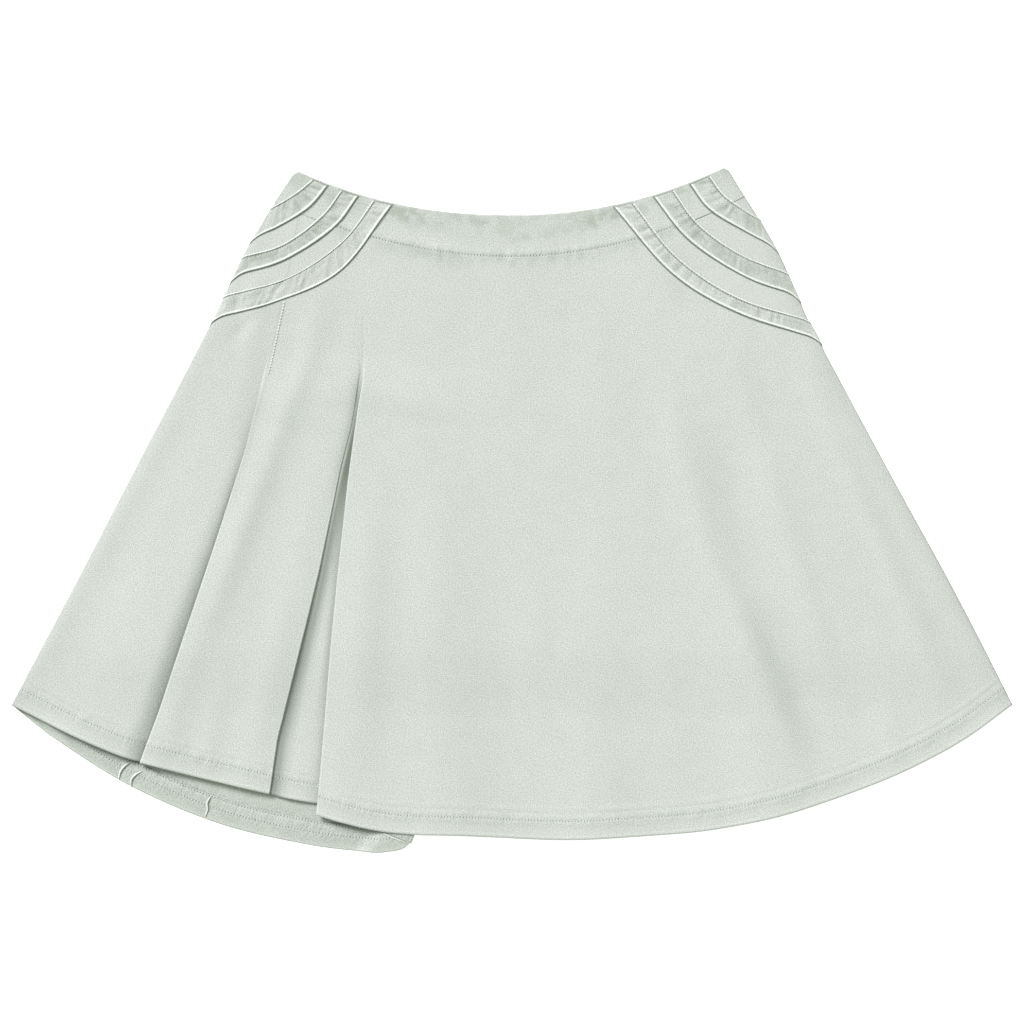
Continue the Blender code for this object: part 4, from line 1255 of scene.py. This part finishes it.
class SKORT_OT_back_panel(bpy.types.Operator):
    """Make the back panel, its tail and its turned hem, whose wrong side shows under the front"""

    bl_idname = "skort.back_panel"
    bl_label = "Back panel"

    def execute(self, context):
        cloth, colours = context.scene.skort_cloth, context.scene.skort_colours
        layer = cloth.layer / MM
        shares = front_shares()[2:]
        grid, gap, count = panel_layers(back_surface, shares, -1.0, layer)
        turned_from = count + TURN_POINTS
        turning, turning_gap = grid[turned_from:][::-1], gap[turned_from:][::-1]
        inside = seam_path(turning, turning_gap, TURNING_STITCH[0])
        run = run_along(inside[None], 1)[0]
        x, y = grid[..., 0], grid[..., 1]
        relief = 0.3 * soft_noise(x, y * 1.4, 13.0, 91) + 0.18 * soft_noise(x, y, 6.0, 93)
        upper = (np.arange(len(grid)) >= turned_from - 1)[:, None] * smooth_step(gap, 1.0, 6.0)
        grid[..., 2] += (relief + 0.25) * upper
        # Painted shadow of the front's hem on the back, strongest at the left side, and painted shade along the
        # back's hem fold
        hem = curve_through(SIDE_HEM, 60)
        below = np.interp(x, hem[:, 0], hem[:, 1]) - y
        corner = 1.0 - 0.3 * smooth_step(x, -372.0, -345.0) - 0.7 * smooth_step(x, -345.0, -262.0)
        marks = {
            "sewn_gap": gap,
            "sewn_run": rows_of(run, len(grid)),
            "worn": 0.3 * bell(gap - 1.4, 0.9),
            "shade": 0.45 + 0.3 * bell(gap - HEM_TURNING, 4.0),
            "dark": 0.35 * bell(gap, 0.7) + 0.9 * corner * fade(below, 0.0, 4.5),
        }
        material = washed_twill("inside_twill", colours.inside, 1.15, TURNING_STITCH, 0.6)
        sheet = (grid, -1.0, marks)
        piece = cloth_piece("back_cloth", sheet, material, "inside_twill", "back_panel", cloth.layer)

        rows = []
        for line in TURNING_STITCH:
            path = seam_path(turning, turning_gap, line)
            up = -seam_path(normals_of(turning[::-1], -1.0)[::-1], turning_gap, line)
            up = up * np.sign(up[:, 2:])
            rows += upward_parts(path + up * layer / 2, up, run)
        stitch_piece("back_hem_stitches", rows)

        paths = []
        for plan in HEM_PINCHES:
            reach = np.linalg.norm(turning[:, :, None, :2] - np.array(plan), axis=-1)
            under = np.where(reach < 5.0, turning[:, :, None, 2], 0.0).max(axis=(0, 1))
            paths.append(np.column_stack([np.array(plan), under + layer / 2]))
        points, faces = pinches(paths)
        mesh = new_mesh("back_hem_pinches", points, faces)
        # Painted light and shade round each pinch: one side in the pale colour, the other in the near-black
        # green
        rings = {"worn": (0, 0, 0.9, 1, 0.7, 0, 0, 0), "dark": (1, 0.75, 0, 0, 0, 0, 0, 1)}
        for mark, ring in rings.items():
            values = np.tile(np.array(ring, np.float32), len(points) // PINCH_SIDES)
            mesh.attributes.new(mark, "FLOAT", "POINT").data.foreach_set("value", values)
        piece_of("back_hem_pinches", mesh, material, "inside_twill")
        return {"FINISHED"}


def waistband_surface(height, inset, shares):
    """The middle of a waistband from its seam at share 0 up to the waist edge at share 1."""
    rows = []
    for share in shares:
        rounding = CORNER_ROUND / 2 * smooth_step(share, 0.85, 1.0)
        ends = []
        for side, half in zip((-1, 1), WAIST_HALF):
            corner = float(waist_y(side * half))
            at = corner + (float(seam_y(side * SEAM_HALF)) - corner) * (1 - share)
            ends.append(float(side_x(side, at)) - side * (inset + rounding))
        left, right = np.array(ends)[:, None]
        x = spaced(left, right, WAIST_COLUMNS, BESIDE_SIDE, BESIDE_SIDE)[0]
        edge = waist_y(x) - inset
        y = edge + (seam_y(x) + SEAM_GAP / 2 - edge) * (1 - share)
        rows.append(np.column_stack([x, y, height(x, y)]))
    return np.array(rows)


def waistband_layers(height, inset, layer, outward):
    """A waistband folded over at the waist edge: its face, the fold and its inner layer."""
    up = [0.0, 0.6, 1.3, 2.2, 3.4, 5.0, 7.0, 9.0, 12.0, 15.0, 18.0, 21.0, 24.0, 26.5, 28.5, 30.0]
    up = np.array(up + [31.2, 32.0])
    shares = up / up[-1] * (1 - 0.6 / up[-1])
    middle = waistband_surface(height, inset, shares)
    under = waistband_surface(height, inset, shares[::-3])
    radius = (WAIST_WALL - layer) / 2
    grid = turned(middle, under, outward, radius, radius)
    return grid, len(shares), run_along(middle, 0)


class SKORT_OT_waistbands(bpy.types.Operator):
    """Make the front and the back waistband, folded over at the waist edge"""

    bl_idname = "skort.waistbands"
    bl_label = "Waistbands"

    def execute(self, context):
        cloth, colours = context.scene.skort_cloth, context.scene.skort_colours
        layer = cloth.layer / MM
        material = washed_twill("waist_twill", colours.face, 1.0, (SEAM_STITCH,), 0.7)
        grid, count, up = waistband_layers(front_height, 0.0, layer, -1.0)
        face = grid[:count]
        normal = normals_of(face, -1.0)
        run = run_along(face[1:2], 1)[0]
        shows = seam_shows(face[..., 0])
        lift = 1.5 * pucker(face[..., 0], up, 0.0, 6.0, 4.6, 41) - 0.7 * bell(up - SEAM_STITCH, 0.8)
        lift = shows * lift + 0.9 * pucker(run, up, 32.0, 6.0, 7.0, 61)
        lift = lift + 0.5 * soft_noise(face[..., 0], face[..., 1], 12.0, 63)
        lift = lift * cloth.pucker / MM * np.clip(normal[..., 2], 0, 1) ** 4
        lift = lift - 0.4 * (0.1 + 0.9 * shows) * fade(up, -0.4, 3.0)
        grid = np.concatenate([face + normal * lift[..., None], grid[count:]])
        inner = np.full((len(grid) - count, grid.shape[1]), 16.0)
        height = np.concatenate([up, inner])
        x, y = grid[..., 0], grid[..., 1]
        clouds = sum(
            strength * bell(x - at, wide) * bell(height - above, tall)
            for at, above, wide, tall, strength in WAIST_CLOUDS
        )
        shade = 0.2 + 0.35 * smooth_step(height, 10.0, 26.0) + 0.3 * seam_shows(x) * bell(height, 4.0)
        # Painted shade along the side edges and along the fold at the waist edge
        marks = {
            "sewn_gap": np.where(seam_shows(x) > 0.5, height, FAR),
            "sewn_run": rows_of(run, len(grid)),
            "worn": 0.4 * bell(height - 32.0, 0.8),
            "shade": shade + clouds,
            "dark": painted_edge_shade(x, y) + 0.2 * bell(height - 32.0, 0.8),
        }
        name, sheet = "front_waistband", (grid, -1.0, marks)
        piece = cloth_piece(name + "_cloth", sheet, material, "face_twill", name, cloth.layer)

        path = seam_path(grid[:count][::-1], up[::-1], SEAM_STITCH)
        normal = seam_path(normals_of(grid[:count], -1.0)[::-1], up[::-1], SEAM_STITCH)
        shown = seam_shows(path[:, 0]) > 0.5
        path, normal, run = (path + normal * layer / 2)[shown], normal[shown], run[shown]
        stitch_piece("waist_seam_stitches", upward_parts(path, normal, run))

        z = WAIST_WALL / 2 + FLOOR_CLEAR
        back = waistband_layers(lambda x, y: np.full(np.shape(x), z), BACK_INSET, layer, 1.0)[0]
        inside = bpy.data.materials["inside_twill"]
        name, sheet = "back_waistband", (back, 1.0, plain_marks(0.3))
        piece = cloth_piece(name + "_cloth", sheet, inside, "inside_twill", name, cloth.layer)
        return {"FINISHED"}


def band_edge(side, waist_x, high_x, high_y, low_x, low_y, side_y, curl):
    """One edge of a hip band: a smooth curve from the waist to the side that curls down at its end."""
    start = (waist_x, float(waist_y(waist_x)) - BAND_WAIST_SETBACK)
    end = (float(side_x(side, side_y)) - side * BAND_SIDE_SETBACK, side_y)
    edge = curve_through((start, (high_x, high_y), (low_x, low_y), end), BAND_COLUMNS)
    nearness = np.clip(1.0 - side * (end[0] - edge[:, 0]) / BAND_CURL_REACH, 0.0, 1.0)
    edge[:, 1] -= 1.25 * curl * nearness**3.2
    inside = side_x(side, edge[:, 1]) - side * BAND_SIDE_SETBACK
    edge[:, 0] = side * np.minimum(side * edge[:, 0], side * inside)
    edge[:, 0] += (inside - edge[:, 0]) * nearness**3
    return edge


def front_normal(x, y):
    """The upward normal of the front, from the slopes of its height over a short step."""
    step = 0.6
    slope_x = (front_height(x + step, y) - front_height(x - step, y)) / (2 * step)
    slope_y = (front_height(x, y + step) - front_height(x, y - step)) / (2 * step)
    return unit(np.stack([-slope_x, -slope_y, np.ones_like(slope_x)], axis=-1))


def band_grid(side, upper, lower, seed):
    """The cloth of a band: its section carried along between its two edges, with puckers across it.

    It sinks to the cloth under it at the waist end. Returns its points and their section values.
    """
    upper, lower = band_edge(side, *upper), band_edge(side, *lower)
    width = np.linalg.norm(lower - upper, axis=1)
    top, bottom = np.array(BAND_UPPER_SECTION), np.array(BAND_LOWER_SECTION)
    shares = [inwards / width for inwards in top[:, 0]]
    shares += [np.full_like(width, share) for share in BAND_MIDDLE_SHARES]
    shares += [1 - inwards / width for inwards in bottom[:, 0]]
    across = np.stack(shares)
    middle = np.tile(BAND_MIDDLE, (len(BAND_MIDDLE_SHARES), 1))
    values = np.concatenate([top[:, 1:], middle, bottom[:, 1:]])
    height, puckers, worn, shade, dark = values[:, :, None].transpose(1, 0, 2)
    plan = upper[None] + (lower - upper)[None] * across[..., None]
    run = run_along((upper + lower)[None] / 2, 1)
    inward = across * width
    waves = soft_noise(run + inward * 0.35, inward * 0.16, 2.6, seed)
    waves = waves + 0.6 * soft_noise(run, inward, 5.5, seed + 1)
    thick = 1.0 + 0.16 * soft_noise(run, 0.0, 11.0, seed + 3)
    lift = height * thick + 0.42 * puckers * waves + 0.04 * soft_noise(run, inward, 8.0, seed + 2)
    tucked = fade(run, 0.2, 1.7)
    at_side = fade(run[:, -1:] - run, 0.2, 3.0)
    lift = lift * (1.0 - 0.85 * tucked) * (1.0 - 0.5 * at_side)
    # Painted shade where the band sinks under at its waist end and where its ridges curl down at the side; the
    # dashes on the puckers are mottle
    dark = np.maximum(dark, 0.85 * tucked * (height > 0.1))
    dark = dark + 0.2 * puckers * np.clip(waves, 0.0, 1.0)
    dark = np.clip(dark + 0.45 * at_side * (worn > 0.3), 0.0, 1.0)
    x, y = plan[..., 0], plan[..., 1]
    below_seam = smooth_step(seam_y(x) - y, -0.8, 0.8)
    base = WAIST_WALL / 2 + (WALL - WAIST_WALL) / 2 * below_seam
    points = np.stack([x, y, front_height(x, y)], axis=-1)
    points = points + front_normal(x, y) * (base + lift)[..., None]
    worn = worn * (1.0 - tucked) * (1.0 - at_side)
    return points, {"worn": worn, "shade": shade, "dark": dark}, run, inward


class SKORT_OT_hip_bands(bpy.types.Operator):
    """Make the six slanting hip bands with their rolled lower edges and their stitching"""

    bl_idname = "skort.hip_bands"
    bl_label = "Hip bands"

    def execute(self, context):
        cloth, colours = context.scene.skort_cloth, context.scene.skort_colours
        material = washed_twill("band_twill", colours.face, 1.1, (BAND_STITCH,), 0.6)
        rows = []
        top_rows = len(BAND_UPPER_SECTION)
        for number, (name, sizes) in enumerate(HIP_BANDS.items()):
            side = -1 if "left" in name else 1
            grid, marks, run, inward = band_grid(side, *sizes, 70 + 5 * number)
            outward = float(np.sign(normals_of(grid)[12, 60, 2]))
            marks["shade"] = marks["shade"] * BAND_MOTTLES[number % 3]
            upper_half = np.arange(len(grid))[:, None] < top_rows + 2
            marks["sewn_gap"] = np.where(upper_half, inward, FAR)
            marks["sewn_run"] = np.broadcast_to(run, inward.shape)
            sheet = (grid, outward, marks)
            piece = cloth_piece(name + "_cloth", sheet, material, "band_twill", name, cloth.layer * 0.6)
            flipped = inward[:top_rows][::-1]
            path = seam_path(grid[:top_rows][::-1], flipped, BAND_STITCH)
            normal = seam_path(normals_of(grid, outward)[:top_rows][::-1], flipped, BAND_STITCH)
            rows += upward_parts(path + normal * cloth.layer * 0.3 / MM, normal, run[0], 0.5)
        stitch_piece("hip_band_stitches", rows, BAND_THREAD)
        return {"FINISHED"}


class SKORT_OT_shorts(bpy.types.Operator):
    """Make the four flat leg pieces of the built-in shorts"""

    bl_idname = "skort.shorts"
    bl_label = "Built-in shorts"

    def execute(self, context):
        cloth, colours = context.scene.skort_cloth, context.scene.skort_colours
        material = washed_twill("shorts_cloth", colours.inside, 0.8)
        down = np.linspace(0.0, 1.0, SHORTS_POINTS)[:, None]
        over = down.T
        outer_top = (SHORTS_TOP_HALF, float(seam_y(-SHORTS_TOP_HALF)) - SEAM_GAP)
        inner_top = (SEAM_GAP / 2, float(seam_y(0.0)) - SEAM_GAP)
        outer = curve_through((outer_top, SHORTS_HIP, SHORTS_OUTER_LEG), SHORTS_POINTS)
        inner = curve_through((inner_top, SHORTS_CROTCH, SHORTS_INNER_LEG), SHORTS_POINTS)
        plan = inner[:, None] * (1 - over[..., None]) + outer[:, None] * over[..., None]
        top = seam_y(-plan[:1, :, 0]) - SEAM_GAP
        straight = plan[:1, :, 1]
        plan[..., 1] += (top - straight) * (1 - down) ** 3
        for layer, height in (("back", SHORTS_BACK_Z), ("front", SHORTS_FRONT_Z)):
            for word, side in (("left", -1), ("right", 1)):
                name = f"shorts_{layer}_{word}"
                wave = 0.12 * soft_noise(plan[..., 0], plan[..., 1], 30.0, 90)
                grid = np.stack([side * plan[..., 0], plan[..., 1], height + wave], axis=-1)
                outward = float(np.sign(normals_of(grid)[20, 20, 2]))
                sheet = (grid, outward, plain_marks(0.2))
                thickness = cloth.layer * 0.8
                piece = cloth_piece(name + "_cloth", sheet, material, "shorts_cloth", name, thickness)
        return {"FINISHED"}


class SKORT_OT_stage(bpy.types.Operator):
    """Lay out the pale surface, the soft light and the camera straight above"""

    bl_idname = "skort.stage"
    bl_label = "Stage"

    def execute(self, context):
        scene = context.scene
        reach = np.array([-FLOOR_REACH, FLOOR_REACH])
        x, y = np.meshgrid(reach, reach[::-1])
        floor_mesh = sheet_mesh("floor", np.stack([x, y, np.full_like(x, FLOOR_Z)], axis=-1), 1.0, {})
        floor = bpy.data.objects.new("floor", floor_mesh)
        scene.collection.objects.link(floor)
        floor_mesh.materials.append(floor_material())

        world = bpy.data.worlds.new("studio")
        world.use_nodes = True
        sky = world.node_tree.nodes["Background"]
        sky.inputs["Color"].default_value = WORLD_COLOUR
        sky.inputs["Strength"].default_value = WORLD_STRENGTH
        scene.world = world

        key = bpy.data.lights.new("softbox", "SUN")
        key.energy = SUN_STRENGTH
        key.color = SUN_COLOUR
        key.angle = math.radians(SUN_ANGLE)
        softbox = bpy.data.objects.new("softbox", key)
        softbox.rotation_euler = Vector(SUN_TOWARDS).to_track_quat("-Z", "Y").to_euler()
        scene.collection.objects.link(softbox)

        lens = bpy.data.cameras.new("camera")
        lens.lens, lens.sensor_width = LENS, SENSOR
        camera = bpy.data.objects.new("camera", lens)
        camera.location = CAMERA_PLACE
        scene.collection.objects.link(camera)
        scene.camera = camera
        scene.view_settings.view_transform = "Standard"
        return {"FINISHED"}


class SKORT_PT_panel(bpy.types.Panel):
    """The pieces of the skort, in the order in which they are made"""

    bl_idname = "SKORT_PT_panel"
    bl_label = "Skort"
    bl_space_type = "VIEW_3D"
    bl_region_type = "UI"
    bl_category = "Skort"

    def draw(self, context):
        for group in (context.scene.skort_cloth, context.scene.skort_colours):
            box = self.layout.box()
            for name in group.__annotations__:
                box.prop(group, name)
        for operator in OPERATORS:
            self.layout.operator(operator.bl_idname)


OPERATORS = (
    SKORT_OT_stage,
    SKORT_OT_back_panel,
    SKORT_OT_shorts,
    SKORT_OT_front_panel,
    SKORT_OT_waistbands,
    SKORT_OT_hip_bands,
)
CLASSES = (SkortCloth, SkortColours, *OPERATORS, SKORT_PT_panel)


def register():
    """Registers the classes and hangs the two groups of settings on the scene."""
    for made in CLASSES:
        bpy.utils.register_class(made)
    bpy.types.Scene.skort_cloth = bpy.props.PointerProperty(type=SkortCloth)
    bpy.types.Scene.skort_colours = bpy.props.PointerProperty(type=SkortColours)


def unregister():
    """Takes back what register added."""
    del bpy.types.Scene.skort_colours
    del bpy.types.Scene.skort_cloth
    for made in reversed(CLASSES):
        bpy.utils.unregister_class(made)


def main():
    """Makes every piece in its order."""
    register()
    bpy.ops.skort.stage()
    bpy.ops.skort.back_panel()
    bpy.ops.skort.shorts()
    bpy.ops.skort.front_panel()
    bpy.ops.skort.waistbands()
    bpy.ops.skort.hip_bands()
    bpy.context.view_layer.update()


if __name__ == "__main__":
    main()
